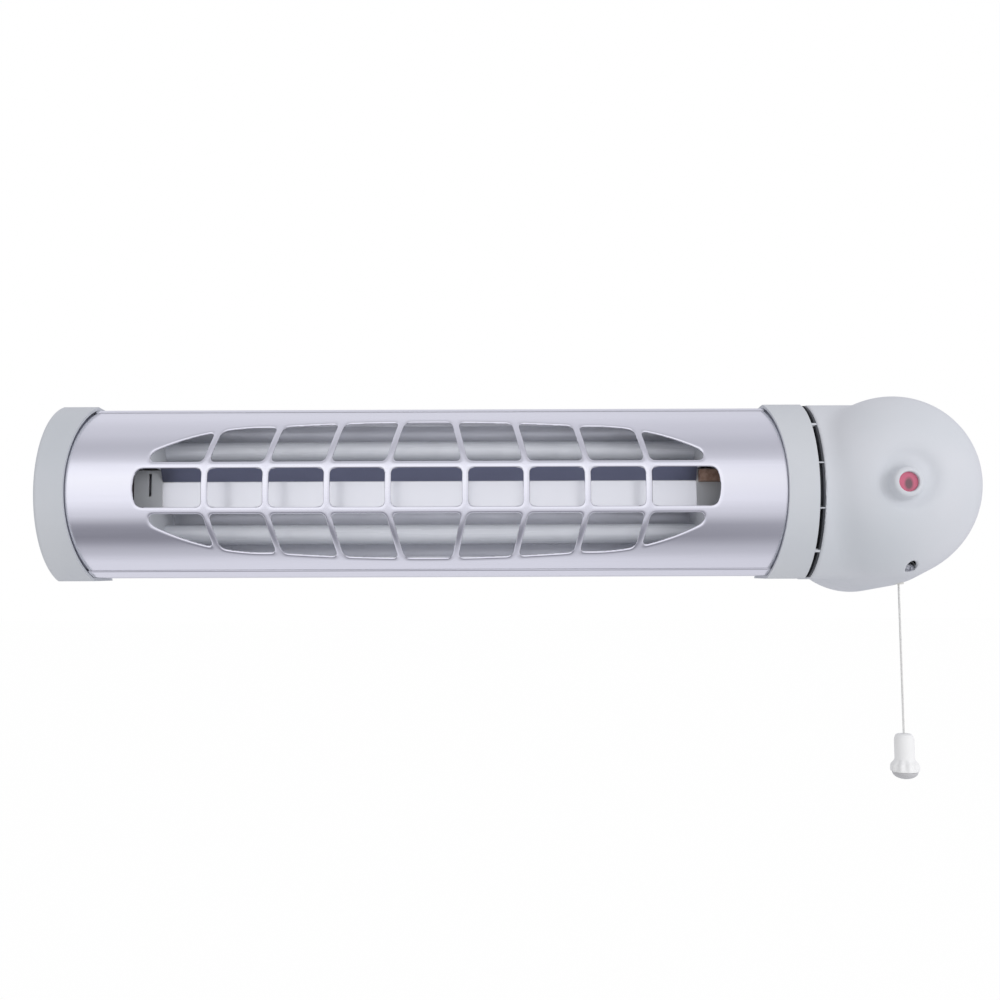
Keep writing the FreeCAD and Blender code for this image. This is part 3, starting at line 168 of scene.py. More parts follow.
def finish(name, colour, roughness, metallic=0.0, **sockets):
    """Add a Principled material to the finishes; returns its tree and its shader."""
    made = bpy.data.materials.new(name)
    made.use_nodes = True
    tree = made.node_tree
    shader = tree.nodes["Principled BSDF"]
    shader.inputs["Base Color"].default_value = linear(colour)
    shader.inputs["Roughness"].default_value = roughness
    shader.inputs["Metallic"].default_value = metallic
    for key, value in sockets.items():
        shader.inputs[key.replace("_", " ")].default_value = value
    made.diffuse_color = linear(colour)
    FINISHES[name] = made
    return tree, shader


print("node helpers ready")

# %% [markdown]
# ## Noise in a finish
# No real surface has one even tone. Noise could be painted on as a picture, but a picture has to be
# fitted to each piece. A noise node works in the piece's own metres instead, so one grain has the
# same size on a large cap and on a small knob.

# %% Noise helpers
NOISE_LOW, NOISE_HIGH = 0.3, 0.7
TONE_FROM, TONE_TO = 0.35, 0.65


def grain(tree, scale, stretch=(1, 1, 1), detail=3.0):
    """Noise in the piece's own metres; scale counts its lumps in a metre."""
    place = add_node(tree, "TexCoord")
    mapping = add_node(tree, "Mapping")
    mapping.inputs["Scale"].default_value = stretch
    noise = add_node(tree, "TexNoise", scale=scale, detail=detail)
    connect(
        tree,
        (place.outputs["Object"], mapping.inputs["Vector"]),
        (mapping.outputs["Vector"], noise.inputs["Vector"]),
    )
    return noise.outputs["Fac"]


def spread(tree, factor, low, high):
    """Map a noise onto a narrow range of numbers."""
    made = add_node(tree, "MapRange")
    made.inputs["From Min"].default_value = NOISE_LOW
    made.inputs["From Max"].default_value = NOISE_HIGH
    made.inputs["To Min"].default_value = low
    made.inputs["To Max"].default_value = high
    connect(tree, (factor, made.inputs["Value"]))
    return made.outputs["Result"]


def two_tone(tree, factor, dark, light):
    """Blend two colours by a noise."""
    ramp = add_node(tree, "ValToRGB")
    first, last = ramp.color_ramp.elements
    first.position, first.color = TONE_FROM, linear(dark)
    last.position, last.color = TONE_TO, linear(light)
    connect(tree, (factor, ramp.inputs["Fac"]))
    return ramp.outputs["Color"]


def bump(tree, shader, height, strength, depth):
    """Raise the surface by a noise, depth in millimetres."""
    made = add_node(tree, "Bump", strength=strength, distance=depth * MM)
    connect(
        tree,
        (height, made.inputs["Height"]),
        (made.outputs["Normal"], shader.inputs["Normal"]),
    )


print("noise helpers ready")

# %% [markdown]
# ## Moulded plastic
# The caps and the head are pale grey mouldings with a fine satin texture from the tool. A single
# grey would look like putty, so the shade drifts a little over the length of the part, the gloss
# is uneven, and a fine bump breaks up the highlights. The knob is a little whiter.

# %% Plastic finishes
def moulded(name, dark, light, roughness):
    tree, shader = finish(name, light, roughness)
    drift = grain(tree, scale=14, detail=2)
    texture = grain(tree, scale=1600)
    gloss = spread(tree, texture, roughness - 0.05, roughness + 0.06)
    connect(
        tree,
        (two_tone(tree, drift, dark, light), shader.inputs["Base Color"]),
        (gloss, shader.inputs["Roughness"]),
    )
    bump(tree, shader, texture, strength=0.12, depth=0.05)


moulded("cap_plastic", (197, 201, 208), (203, 206, 212), 0.42)
moulded("head_plastic", (203, 207, 214), (209, 211, 218), 0.40)
moulded("knob_plastic", (240, 240, 241), (245, 245, 246), 0.36)
moulded("knob_plug", (192, 192, 195), (202, 202, 205), 0.45)
moulded("white_nylon", (216, 215, 210), (224, 223, 219), 0.48)
# on the swivel collar this near-black is painted shade: the plate lines the swivel gap so that the gap
# reads black, as it does in its shadow
moulded("dark_plastic", (52, 54, 59), (64, 66, 71), 0.50)
moulded("grommet_rubber", (30, 30, 32), (40, 40, 42), 0.70)
print("plastics:", sorted(FINISHES))

# %% [markdown]
# ## Bright metal
# The housing is anodised aluminium sheet: it mirrors the room as long soft bands, because rolling
# leaves fine lines along the strip. The reflector behind the tubes is bright, a little hazy and a
# little wavy. Steel parts are plated, and the brackets are painted.

# %% Metal finishes
# width in millimetres over which the reflector's painted shade sets in
BAND_SHADE_EDGE = 0.2


def rolled_sheet(name, colour, roughness, line_strength):
    tree, shader = finish(name, colour, roughness, metallic=1.0)
    lines = grain(tree, scale=900, stretch=(0.02, 1, 1), detail=4)
    gloss = spread(tree, lines, roughness - 0.04, roughness + 0.05)
    connect(tree, (gloss, shader.inputs["Roughness"]))
    bump(tree, shader, lines, line_strength, depth=0.02)


def polished_sheet(name, colour, band_shade, band_shade_from, roughness):
    """Bright sheet; what stands forward of a given depth, in millimetres, is painted a darker tone: a
    painted shade.
    """
    tree, shader = finish(name, colour, roughness, metallic=0.6)
    haze = grain(tree, scale=300, stretch=(0.1, 1, 1))
    gloss = spread(tree, haze, roughness, roughness + 0.04)
    waves = grain(tree, scale=40, stretch=(0.3, 1, 1), detail=1)
    bump(tree, shader, waves, strength=0.02, depth=1.0)
    place = add_node(tree, "TexCoord")
    axes = add_node(tree, "SeparateXYZ")
    forward = add_node(tree, "MapRange")
    forward.inputs["From Min"].default_value = band_shade_from * MM
    forward.inputs["From Max"].default_value = (band_shade_from - BAND_SHADE_EDGE) * MM
    connect(
        tree,
        (gloss, shader.inputs["Roughness"]),
        (place.outputs["Object"], axes.inputs[0]),
        (axes.outputs["Y"], forward.inputs["Value"]),
        (two_tone(tree, forward.outputs["Result"], colour, band_shade), shader.inputs["Base Color"]),
    )


def plated(name, dark, light, roughness):
    tree, shader = finish(name, light, roughness, metallic=1.0)
    tone = grain(tree, scale=260)
    connect(
        tree,
        (two_tone(tree, tone, dark, light), shader.inputs["Base Color"]),
        (spread(tree, tone, roughness - 0.06, roughness + 0.08), shader.inputs["Roughness"]),
    )
    bump(tree, shader, grain(tree, scale=2200), strength=0.10, depth=0.03)


rolled_sheet("sheet_aluminium", (241, 241, 245), 0.20, 0.05)
# the blue-grey is painted shade on the creased leaf, forward of -74.1 mm: it darkens the upper band
polished_sheet("reflector_aluminium", (236, 237, 241), (124, 128, 152), -74.1, 0.22)
plated("plated_steel", (176, 178, 182), (204, 206, 210), 0.30)
plated("brass", (176, 140, 78), (206, 170, 104), 0.30)
plated("element_wire", (112, 106, 100), (140, 134, 126), 0.42)
moulded("bracket_paint", (204, 207, 213), (212, 214, 219), 0.45)
print("metals and paint:", len(FINISHES))

# %% [markdown]
# ## Quartz, ceramic, lens and cord
# The tubes are milky quartz: nearly all the light that goes in comes back scattered. Clear glass
# would show the coil, so a pale satin body under a clear coat is closer. Ceramic ends are dull and
# chalky. The lens of the pilot light is red and clear enough to show the little lamp behind it.
# The cord is twisted white fibre.

# %% Glass, ceramic and fibre finishes
BULB_SHIFT, BULB_WIDTH, BULB_HEIGHT = (0.2, 0, -1.0), 4.4, 6.6


def milky_quartz():
    tree, shader = finish(
        "quartz", (228, 231, 239), 0.22, Transmission_Weight=0.05, Coat_Weight=1.0
    )
    streaks = grain(tree, scale=220, stretch=(0.05, 1, 1))
    connect(tree, (spread(tree, streaks, 0.16, 0.34), shader.inputs["Roughness"]))


def fired_ceramic(name, dark, light):
    tree, shader = finish(name, light, roughness=0.62)
    tone = two_tone(tree, grain(tree, scale=420), dark, light)
    connect(tree, (tone, shader.inputs["Base Color"]))
    bump(tree, shader, grain(tree, scale=1300), strength=0.25, depth=0.08)


def tinted_lens():
    """Red lens with the grey shape of the little lamp, an oval a little below its middle."""
    tree, shader = finish(
        "pilot_red", (236, 96, 130), 0.10, Transmission_Weight=0.35, IOR=1.45, Coat_Weight=0.5
    )
    centre = sum(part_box("pilot_lens"), Vector()) / 2
    place = add_node(tree, "TexCoord")
    mapping = add_node(tree, "Mapping", vector_type="TEXTURE")
    mapping.inputs["Location"].default_value = centre + Vector(BULB_SHIFT) * MM
    mapping.inputs["Scale"].default_value = (BULB_WIDTH * MM, 1, BULB_HEIGHT * MM)
    bulb = add_node(tree, "TexGradient", gradient_type="SPHERICAL")
    shade = two_tone(tree, bulb.outputs["Fac"], (240, 122, 154), (136, 102, 112))
    connect(
        tree,
        (place.outputs["Object"], mapping.inputs["Vector"]),
        (mapping.outputs["Vector"], bulb.inputs["Vector"]),
        (shade, shader.inputs["Base Color"]),
    )


def thin_glass():
    tree, shader = finish("neon_glass", (150, 142, 140), 0.15, Coat_Weight=0.5)
    tone = two_tone(tree, grain(tree, scale=500), (96, 88, 88), (164, 156, 152))
    connect(tree, (tone, shader.inputs["Base Color"]))


def fibre(name, dark, light, roughness):
    tree, shader = finish(name, light, roughness, Sheen_Weight=0.3)
    threads = grain(tree, scale=2600, stretch=(1, 1, 0.3))
    connect(tree, (two_tone(tree, threads, dark, light), shader.inputs["Base Color"]))
    bump(tree, shader, threads, strength=0.35, depth=0.08)


milky_quartz()
fired_ceramic("white_ceramic", (214, 210, 202), (228, 225, 218))
fired_ceramic("brown_ceramic", (150, 118, 104), (176, 146, 130))
tinted_lens()
thin_glass()
fibre("cord_fibre", (206, 206, 206), (236, 236, 235), 0.75)
fibre("lead_insulation", (168, 96, 76), (184, 110, 90), 0.55)
print("finishes:", len(FINISHES))

# %% [markdown]
# ## Placing a piece
# A piece that is made here stands for a solid of the construction. It then moves with the same
# body and takes the same material slot, both of which the solid already knows. One helper does
# this for every piece, so that no piece can be forgotten.

# %% Piece helpers
def body_of(node):
    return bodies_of(NODES[node])[0]


def slot_of(node):
    return NODES[node].data.materials[0].name.split(".")[0]


def show(name, mesh, node, replaced=(), slot=None):
    """Link a mesh as a piece that rides where a node rides, with the node's finish."""
    piece = in_scene(name, mesh)
    slot = slot or slot_of(node)
    mesh.materials.clear()
    mesh.materials.append(FINISHES[slot])
    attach(piece, body_of(node))
    if replaced:
        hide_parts(*replaced)
    return piece


def mesh_of(name, points, faces, crease=40):
    """A mesh from points in millimetres, smooth but for edges sharper than crease degrees."""
    mesh = bpy.data.meshes.new(name)
    mesh.from_pydata((np.asarray(points) * MM).tolist(), [], [list(face) for face in faces])
    mesh.polygons.foreach_set("use_smooth", [True] * len(mesh.polygons))
    mesh.set_sharp_from_angle(angle=math.radians(crease))
    mesh.update()
    return mesh


print("bodies:", sorted({body_of(node) for node in NODES}))

# %% [markdown]
# ## Skin over a formula
# The head flows from a flat-sided neck into a dome, and the grille has 27 soft-edged openings.
# Boxes and booleans leave hard seams there. A distance formula does not: it is negative inside
# the material, two formulas blend into each other over a chosen width, and a skin of quads is
# wrapped round the place where the formula is zero. Each vertex is then pulled onto that place
# exactly, which keeps the surface smooth.

# %% Blending and settling
SLOPE_SHIFT, SLOPE_FLOOR = 0.02, 0.05


def smooth_min(one, two, width):
    share = np.clip(0.5 + 0.5 * (two - one) / width, 0, 1)
    return two + (one - two) * share - width * share * (1 - share)


def smooth_max(one, two, width):
    return -smooth_min(-one, -two, width)


def fade(distance, start, width):
    """A share that rises from 0 to 1 over a width from a start."""
    return np.clip((distance - start) / width, 0, 1)


def steps(*stretches):
    """Grid lines over stretches of (low, high, cell size)."""
    lines = [
        np.linspace(low, high, max(round((high - low) / cell), 1) + 1)
        for low, high, cell in stretches
    ]
    return np.unique(np.round(np.concatenate(lines), 6))


def settle(field, points, reach, rounds=4):
    """Pull points onto the zero of a field, each round by no more than reach."""
    for _ in range(rounds):
        value = field(*points.T)
        slope = np.empty_like(points)
        for axis in range(3):
            ahead = points.copy()
            ahead[:, axis] += SLOPE_SHIFT
            slope[:, axis] = (field(*ahead.T) - value) / SLOPE_SHIFT
        length = np.maximum((slope ** 2).sum(1), SLOPE_FLOOR)
        move = -(value / length)[:, None] * slope
        size = np.maximum(np.linalg.norm(move, axis=1), 1e-9)
        points = points + move * np.minimum(1, reach / size)[:, None]
    return points


print("blends and grid lines ready")

# %% [markdown]
# The skin is found on a grid. Each grid cell that the surface passes through gets one vertex, at
# the mean of the crossings on its edges. Each grid edge that crosses the surface gets one quad,
# from the four cells round it. Blender can remesh volumes too, but here the grid can be fine
# where there is detail and coarse elsewhere.

# %% Wrapping a skin
def cell_points(grid, value, corners, at, mixed):
    """One point in each mixed cell, at the mean of the crossings on the cell's edges."""
    total = np.zeros((mixed.sum(), 3))
    weight = np.zeros(mixed.sum())
    for axis in range(3):
        for corner in corners:
            if corner[axis]:
                continue
            other = tuple(1 if a == axis else c for a, c in enumerate(corner))
            first, last = at(value, corner)[mixed], at(value, other)[mixed]
            crossing = (first < 0) != (last < 0)
            share = np.where(crossing, first / np.where(crossing, first - last, 1), 0)
            for a in range(3):
                start, end = at(grid[a], corner)[mixed], at(grid[a], other)[mixed]
                total[:, a] += np.where(crossing, start + share * (end - start), 0)
            weight += crossing
    return total / weight[:, None]


def edge_quads(inside, number):
    """One quad for each grid edge that crosses the surface, from the numbers of its four cells."""
    quads = []
    for axis in range(3):
        second, third = [a for a in range(3) if a != axis]
        middle = [slice(None)] * 3
        for a in (second, third):
            middle[a] = slice(1, -1)
        low, high = list(middle), list(middle)
        low[axis], high[axis] = slice(0, -1), slice(1, None)
        first, last = inside[tuple(low)], inside[tuple(high)]
        for entering in (True, False):
            spots = np.argwhere((first != last) & (first == entering))
            around = []
            for b, c in ((0, 0), (1, 0), (1, 1), (0, 1)):
                cell = spots.copy()
                cell[:, second] += b
                cell[:, third] += c
                around.append(number[tuple(cell.T)])
            ring = np.stack(around, 1)
            turned_right = entering if axis != 1 else not entering
            quads.append(ring if turned_right else ring[:, ::-1])
    return np.concatenate(quads)


def skin_of(field, axes, reach):
    """Points and quads of a closed skin round the region where the field is negative."""
    grid = np.meshgrid(*axes, indexing="ij")
    value = field(*grid)
    inside = value < 0
    shape = np.array(value.shape) - 1
    corners = [(i, j, k) for i in (0, 1) for j in (0, 1) for k in (0, 1)]

    def at(array, corner):
        return array[tuple(slice(c, c + n) for c, n in zip(corner, shape))]

    count = sum(at(inside, corner).astype(int) for corner in corners)
    mixed = (count > 0) & (count < len(corners))
    number = np.full(tuple(shape), -1)
    number[mixed] = np.arange(mixed.sum())
    points = cell_points(grid, value, corners, at, mixed)
    return settle(field, points, reach), edge_quads(inside, number)


print("skin tools ready")

# %% [markdown]
# ## The cover of the control head
# The cover is one moulding: a leaning dome that grows out of a neck with the lamp's own section,
# with a collar for the pilot light in a shallow dish, a sunk screw and a hole for the cord. The
# fillet between neck and dome is soft on the face that one looks at and fades to a crisp kink at
# the top and the bottom, as it would in a tool that parts there.

# %% Dome and neck
AXIS_Y = JOINTS["lamp_tilt"]["pos_m"][1] / MM
DOME_RADIUS, DOME_FRONT, DOME_SHOULDER, DOME_CROWN = 53.0, 64.5, 38.0, 150.0
DOME_LEAN, DOME_DROP, WALL_RADIUS, COVER_WALL = 0.175, 4.3, 47.0, 2.5
NECK_RADIUS, NECK_HALF, NECK_BACK, NECK_ROUND = 55.0, 52.3, 15.0, 2.0

cover_low, cover_high = span("head_cover")
HEAD_X = cover_high.x - DOME_RADIUS
NECK_FACE = cover_low.x
PARTING_Y = cover_high.y


def dome_field(x, y, z):
    """Distance to the leaning dome."""
    back = y - AXIS_Y
    r = np.hypot(x - HEAD_X, z + DOME_DROP + DOME_LEAN * back)
    shoulder_r = DOME_RADIUS - DOME_SHOULDER
    crown_y = DOME_CROWN - DOME_FRONT
    shoulder_y = crown_y - math.sqrt((DOME_CROWN - DOME_SHOULDER) ** 2 - shoulder_r ** 2)
    swing = math.atan2(shoulder_r, crown_y - shoulder_y)
    on_crown = np.arctan2(r, crown_y - back) < swing
    crown = np.hypot(r, back - crown_y) - DOME_CROWN
    shoulder = np.hypot(r - shoulder_r, back - shoulder_y) - DOME_SHOULDER
    taper = (WALL_RADIUS - DOME_RADIUS) / -AXIS_Y
    side = r - DOME_RADIUS - taper * np.maximum(back, 0)
    return np.where(back < shoulder_y, np.where(on_crown, crown, shoulder), side)


def neck_field(x, y, z):
    """Distance to the neck, which has the lamp's section and a round end behind the dome."""
    back = y - AXIS_Y
    rise = np.hypot(np.maximum(x - HEAD_X, 0), z)
    front = smooth_max(np.hypot(back, rise) - NECK_RADIUS, rise - NECK_HALF, NECK_ROUND)
    return smooth_max(front, back - NECK_BACK, NECK_ROUND)


print("cover from", round(NECK_FACE, 1), "to", round(cover_high.x, 1), "mm")

# %% [markdown]
# The pilot light stands in a short cone, and a screw and the cord go through the skin. On the real
# cover all of them come out of the same tool. Their places are read from the solids that sit in
# them, so that lens, screw and bush fit their seats.

# %% Pilot collar, screw and cord
PILOT_RIM, PILOT_BASE, PILOT_ROUND, PILOT_FOOT_ROUND = 8.2, 9.8, 2.0, 0.5
LENS_RADIUS, LENS_LIP, LENS_LIP_DEPTH = 5.5, 1.7, 1.5
SCREW_RECESS, SCREW_BOSS_WALL, SCREW_SHANK = 3.3, 1.0, 1.5
SCREW_HEAD_DEPTH, SCREW_LIFT = 2.4, 0.9
CORD_BUSH_RADIUS, CORD_HOLE_TOP, SPIGOT_RADIUS = 2.9, -40.0, 14.0
BORE_GAP = 0.05

lens_low, lens_high = span("pilot_lens")
PILOT_X = (lens_low.x + lens_high.x) / 2
screw_low, screw_high = span("cover_screw")
COVER_SCREW_X = (screw_low.x + screw_high.x) / 2
COVER_SCREW_Z = (screw_low.z + screw_high.z) / 2
SCREW_SEAT = screw_low.y + SCREW_HEAD_DEPTH - SCREW_LIFT
BOSS_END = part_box("wall_base")[0].y / MM
cord_low, cord_high = span("pull_cord")
CORD_X = (cord_low.x + cord_high.x) / 2
CORD_Y = (cord_low.y + cord_high.y) / 2


def pilot_collar_field(x, y, z):
    """Distance to the short cone that stands round the pilot light."""
    r = np.hypot(x - PILOT_X, z)
    rim_y, base_y = cover_low.y, lens_high.y
    slope = (PILOT_BASE - PILOT_RIM) / (base_y - rim_y)
    cone = (r - PILOT_RIM - slope * (y - rim_y)) / math.hypot(1, slope)
    return smooth_max(smooth_max(cone, rim_y - y, PILOT_ROUND), y - base_y, PILOT_FOOT_ROUND)


print("pilot light at x", round(PILOT_X, 1), "and cord at x", round(CORD_X, 1), "mm")

# %% [markdown]
# The formulas are now put together as one would carve: dome and neck are joined, the dish is
# pressed in, the hollow is taken out, and every opening is cut. A soft maximum rounds the rims
# that fingers and eyes meet; the hidden bores stay sharp.

# %% Cover material
BLEND_FRONT, BLEND_EDGE = 4.0, 1.0
FACE_DEPTH, FACE_SIDE = (20.0, 12.0), (10.0, 15.0)
DISH_RADIUS, DISH_WIDTH, DISH_DEPTH, DISH_SHIFT = 12.0, 5.0, 2.0, 3.0
DISH_FACE = (40.0, 10.0)
NECK_RIM_ROUND, COLLAR_FILLET, LENS_RIM_ROUND, SCREW_RIM_ROUND = 1.0, 3.0, 0.8, 0.6


def cover_outside(x, y, z):
    """Distance to dome and neck without and with the collar, and the depth of the dish."""
    facing = fade(AXIS_Y - y, *FACE_DEPTH) * fade(HEAD_X - x, *FACE_SIDE)
    blend = BLEND_EDGE + (BLEND_FRONT - BLEND_EDGE) * facing
    plain = smooth_min(dome_field(x, y, z), neck_field(x, y, z), blend)
    outside = smooth_max(plain, NECK_FACE - x, NECK_RIM_ROUND)
    ring = (np.hypot(x - PILOT_X - DISH_SHIFT, z - DISH_SHIFT) - DISH_RADIUS) / DISH_WIDTH
    dish = DISH_DEPTH * np.exp(-ring ** 2) * fade(AXIS_Y - y, *DISH_FACE)
    outside = smooth_min(outside + dish, pilot_collar_field(x, y, z), COLLAR_FILLET)
    return plain, outside, dish


def cover_field(x, y, z):
    """Distance to the material of the cover: skin, boss and collar less the openings."""
    plain, outside, dish = cover_outside(x, y, z)
    hollow = np.maximum(plain + dish + COVER_WALL, NECK_FACE + COVER_WALL - x)
    lens_r = np.hypot(x - PILOT_X, z)
    screw_r = np.hypot(x - COVER_SCREW_X, z - COVER_SCREW_Z)
    cord_r = np.hypot(x - CORD_X, y - CORD_Y)
    boss = np.maximum(screw_r - SCREW_RECESS - SCREW_BOSS_WALL, y - BOSS_END)
    boss = np.maximum(boss, SCREW_SEAT - y)
    body = np.minimum(np.maximum(outside, -hollow), np.maximum(boss, plain))
    flange = lens_r - LENS_RADIUS - LENS_LIP - BORE_GAP
    body = smooth_max(body, LENS_RADIUS + BORE_GAP - lens_r, LENS_RIM_ROUND)
    body = np.maximum(body, -np.maximum(flange, lens_high.y - LENS_LIP_DEPTH - y))
    body = smooth_max(body, -np.maximum(screw_r - SCREW_RECESS, y - SCREW_SEAT), SCREW_RIM_ROUND)
    body = np.maximum(body, SCREW_SHANK + BORE_GAP - screw_r)
    body = np.maximum(body, -np.maximum(cord_r - CORD_BUSH_RADIUS - BORE_GAP, z - CORD_HOLE_TOP))
    spigot = np.hypot(y - AXIS_Y, z) - SPIGOT_RADIUS - BORE_GAP
    body = np.maximum(body, -np.maximum(spigot, x - NECK_FACE - 2 * COVER_WALL))
    return np.maximum(body, y - PARTING_Y)


print("cover wall:", COVER_WALL, "mm")

# %% [markdown]
# The formula only needs its grid now: fine round the pilot light, the screw and the cord's hole,
# and coarse on the plain dome, where larger quads show no facets.

# %% Cover skin
COARSE, FINE, FOOT = 1.2, 0.6, 0.7
MARGIN, FRONT_MARGIN, FOOT_MARGIN = 2.4, 1.8, 1.4
FINE_LEFT, FINE_RIGHT, FINE_BACK, FINE_HALF, FOOT_TOP = 223, 258, -107, 17, -38
COVER_REACH = 0.5

cover_axes = (
    steps(
        (NECK_FACE - MARGIN, FINE_LEFT, COARSE),
        (FINE_LEFT, FINE_RIGHT, FINE),
        (FINE_RIGHT, cover_high.x + MARGIN, COARSE),
    ),
    steps((cover_low.y - FRONT_MARGIN, FINE_BACK, FINE), (FINE_BACK, PARTING_Y + MARGIN, COARSE)),
    steps(
        (cover_low.z - FOOT_MARGIN, FOOT_TOP, FOOT),
        (FOOT_TOP, -FINE_HALF, COARSE),
        (-FINE_HALF, FINE_HALF, FINE),
        (FINE_HALF, cover_high.z + MARGIN, COARSE),
    ),
)
cover_points, cover_quads = skin_of(cover_field, cover_axes, COVER_REACH)
show("cover_skin", mesh_of("cover_skin", cover_points, cover_quads), "head_cover", ["head_cover"])
print("cover skin:", len(cover_points), "points")

# %% [markdown]
# ## The grille
# The front of the lamp is a sheet bent round the tilt axis. Its window is punched into three rows
# of cells, and the edge of every cell is turned inwards, so that each bar is a little arch that
# catches the light along its back. The formula is written on the flat sheet, in its length, the
# way round the bend and the depth, and the finished skin is then bent.

# %% Window of the grille
WINDOW_HALF, WINDOW_HEIGHT = 167.0, 40.4
SHOULDER, FLANK, TIP = (90.0, 37.0), (128.0, 32.6), (158.0, 20.6)
BAR_HEIGHT, BAR_WIDTH = 13.2, 4.1
RIB_FIRST, RIB_PITCH, RIB_COUNT, RIB_WIDTH, RIB_LEAN = 22.0, 34.8, 4, 3.8, 6.5
CELL_CORNER = 3.4
ROW_END, ROW_CORNER = 158.0, 3.0
LAMP_X = JOINTS["lamp_tilt"]["pos_m"][0] / MM


def circle_through(one, two, three):
    """Centre and radius of the circle through three points of the window's outline."""
    a, b, c = (complex(*point) for point in (one, two, three))
    w = (c - a) / (b - a)
    centre = (b - a) * (w - abs(w) ** 2) / (w - w.conjugate()) + a
    return centre.real, centre.imag, abs(a - centre)


TOP_ARC = circle_through((-SHOULDER[0], SHOULDER[1]), (0, WINDOW_HEIGHT), SHOULDER)
FLANK_ARC = circle_through(SHOULDER, FLANK, TIP)
TIP_ARC = circle_through(TIP, (WINDOW_HALF, 0), (TIP[0], -TIP[1]))


def metal_width(x, z):
    """How far a place on the sheet is from the nearest opening; negative in an opening."""
    along, rise = np.abs(x - LAMP_X), np.abs(z)

    def beyond(circle):
        return np.hypot(along - circle[0], rise - circle[1]) - circle[2]

    end = np.where(along < TIP[0], beyond(FLANK_ARC), beyond(TIP_ARC))
    outline = np.where(along < SHOULDER[0], beyond(TOP_ARC), end)
    row = np.where(rise > BAR_HEIGHT, along - ROW_END, -ROW_END)
    outline = smooth_max(outline, row, ROW_CORNER)
    bars = BAR_WIDTH / 2 - np.abs(rise - BAR_HEIGHT)
    lean = RIB_LEAN * np.maximum(rise - BAR_HEIGHT, 0) / (WINDOW_HEIGHT - BAR_HEIGHT)
    ribs = [np.abs(along - RIB_FIRST - RIB_PITCH * step + lean) for step in range(RIB_COUNT)]
    nearest = np.minimum.reduce(ribs)
    return smooth_max(smooth_max(outline, bars, CELL_CORNER), RIB_WIDTH / 2 - nearest, CELL_CORNER)


print("window:", 2 * WINDOW_HALF, "x", 2 * WINDOW_HEIGHT, "mm")

# %% [markdown]
# The sheet follows from the window. Its middle plane dips near every opening, as the metal does
# where a punch turns the edge in. A bevel on a boolean cut would need a clean edge all round each
# cell; the formula gives the turned edge everywhere at once.

# %% Grille skin
SHEET, EDGE_TURN, EDGE_REACH, EDGE_LIMIT, EDGE_ROUND = 0.8, 0.7, 1.4, 1.3, 0.5
GRID_HALF, GRID_HALF_WAY, GRID_END_WAY, GRID_MARGIN = 171, 49, 66, 2
WINDOW_CELL, PLAIN_CELL, PLAIN_CELL_WAY = 0.8, 3.0, 2.0
DEPTH_LINES = (-3.0, 0.36, 0.28)
GRILLE_REACH = 0.25

grille_low, grille_high = span("front_grille")
GRILLE_RADIUS = AXIS_Y - grille_low.y


def grille_field(x, way, depth):
    """Distance to the punched sheet, laid flat; depth is outwards from its outer face."""
    width = metal_width(x, GRILLE_RADIUS * np.sin(way / GRILLE_RADIUS))
    near = np.clip(1 - width / EDGE_REACH, 0, EDGE_LIMIT)
    turned_in = -SHEET / 2 - EDGE_TURN * near ** 2
    slope = 2 * EDGE_TURN * near / EDGE_REACH
    sheet = np.abs(depth - turned_in) / np.sqrt(1 + slope ** 2) - SHEET / 2
    half_way = GRILLE_RADIUS * math.asin(grille_high.z / GRILLE_RADIUS)
    field = smooth_max(sheet, -width, EDGE_ROUND)
    field = np.maximum(field, np.abs(way) - half_way)
    return np.maximum(field, np.maximum(grille_low.x - x, x - grille_high.x))


def bent(points):
    """Bend the flat sheet round the tilt axis."""
    x, way, depth = points.T
    turn = way / GRILLE_RADIUS
    radius = GRILLE_RADIUS + depth
    return np.stack((x, AXIS_Y - radius * np.cos(turn), radius * np.sin(turn)), 1)


grille_axes = (
    steps(
        (grille_low.x - GRID_MARGIN, LAMP_X - GRID_HALF, PLAIN_CELL),
        (LAMP_X - GRID_HALF, LAMP_X + GRID_HALF, WINDOW_CELL),
        (LAMP_X + GRID_HALF, grille_high.x + GRID_MARGIN, PLAIN_CELL),
    ),
    steps(
        (-GRID_END_WAY, -GRID_HALF_WAY, PLAIN_CELL_WAY),
        (-GRID_HALF_WAY, GRID_HALF_WAY, WINDOW_CELL),
        (GRID_HALF_WAY, GRID_END_WAY, PLAIN_CELL_WAY),
    ),
    steps(DEPTH_LINES),
)
grille_points, grille_quads = skin_of(grille_field, grille_axes, GRILLE_REACH)
grille_mesh = mesh_of("grille_skin", bent(grille_points), grille_quads, 50)
show("grille_skin", grille_mesh, "front_grille", ["front_grille"])
print("grille skin:", len(grille_points), "points")

# %% [markdown]
# ## The reflector
# Behind the tubes lies one polished sheet with two round troughs and a strip between them. The
# strip is creased along its length, and its creased leaf is painted a dark blue-grey, a painted
# shade; together they show as a dark upper band with a crisp lower edge. A press brake would
# make it from flat; here its section is drawn once and swept along the lamp.

# %% Reflector
TROUGH_RADIUS, TROUGH_STEPS, REFLECTOR_METAL = 17.0, 49, 0.6
CREASE_HEIGHT, LIP_HEIGHT, CREASE_DEGREES = 5.7, 14.0, 31.0
reflector_low, reflector_high = span("reflector")
TUBE_Y = reflector_high.y - TROUGH_RADIUS - REFLECTOR_METAL
TUBE_Z = sum(corner.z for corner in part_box("quartz_tube_upper")) / 2 / MM


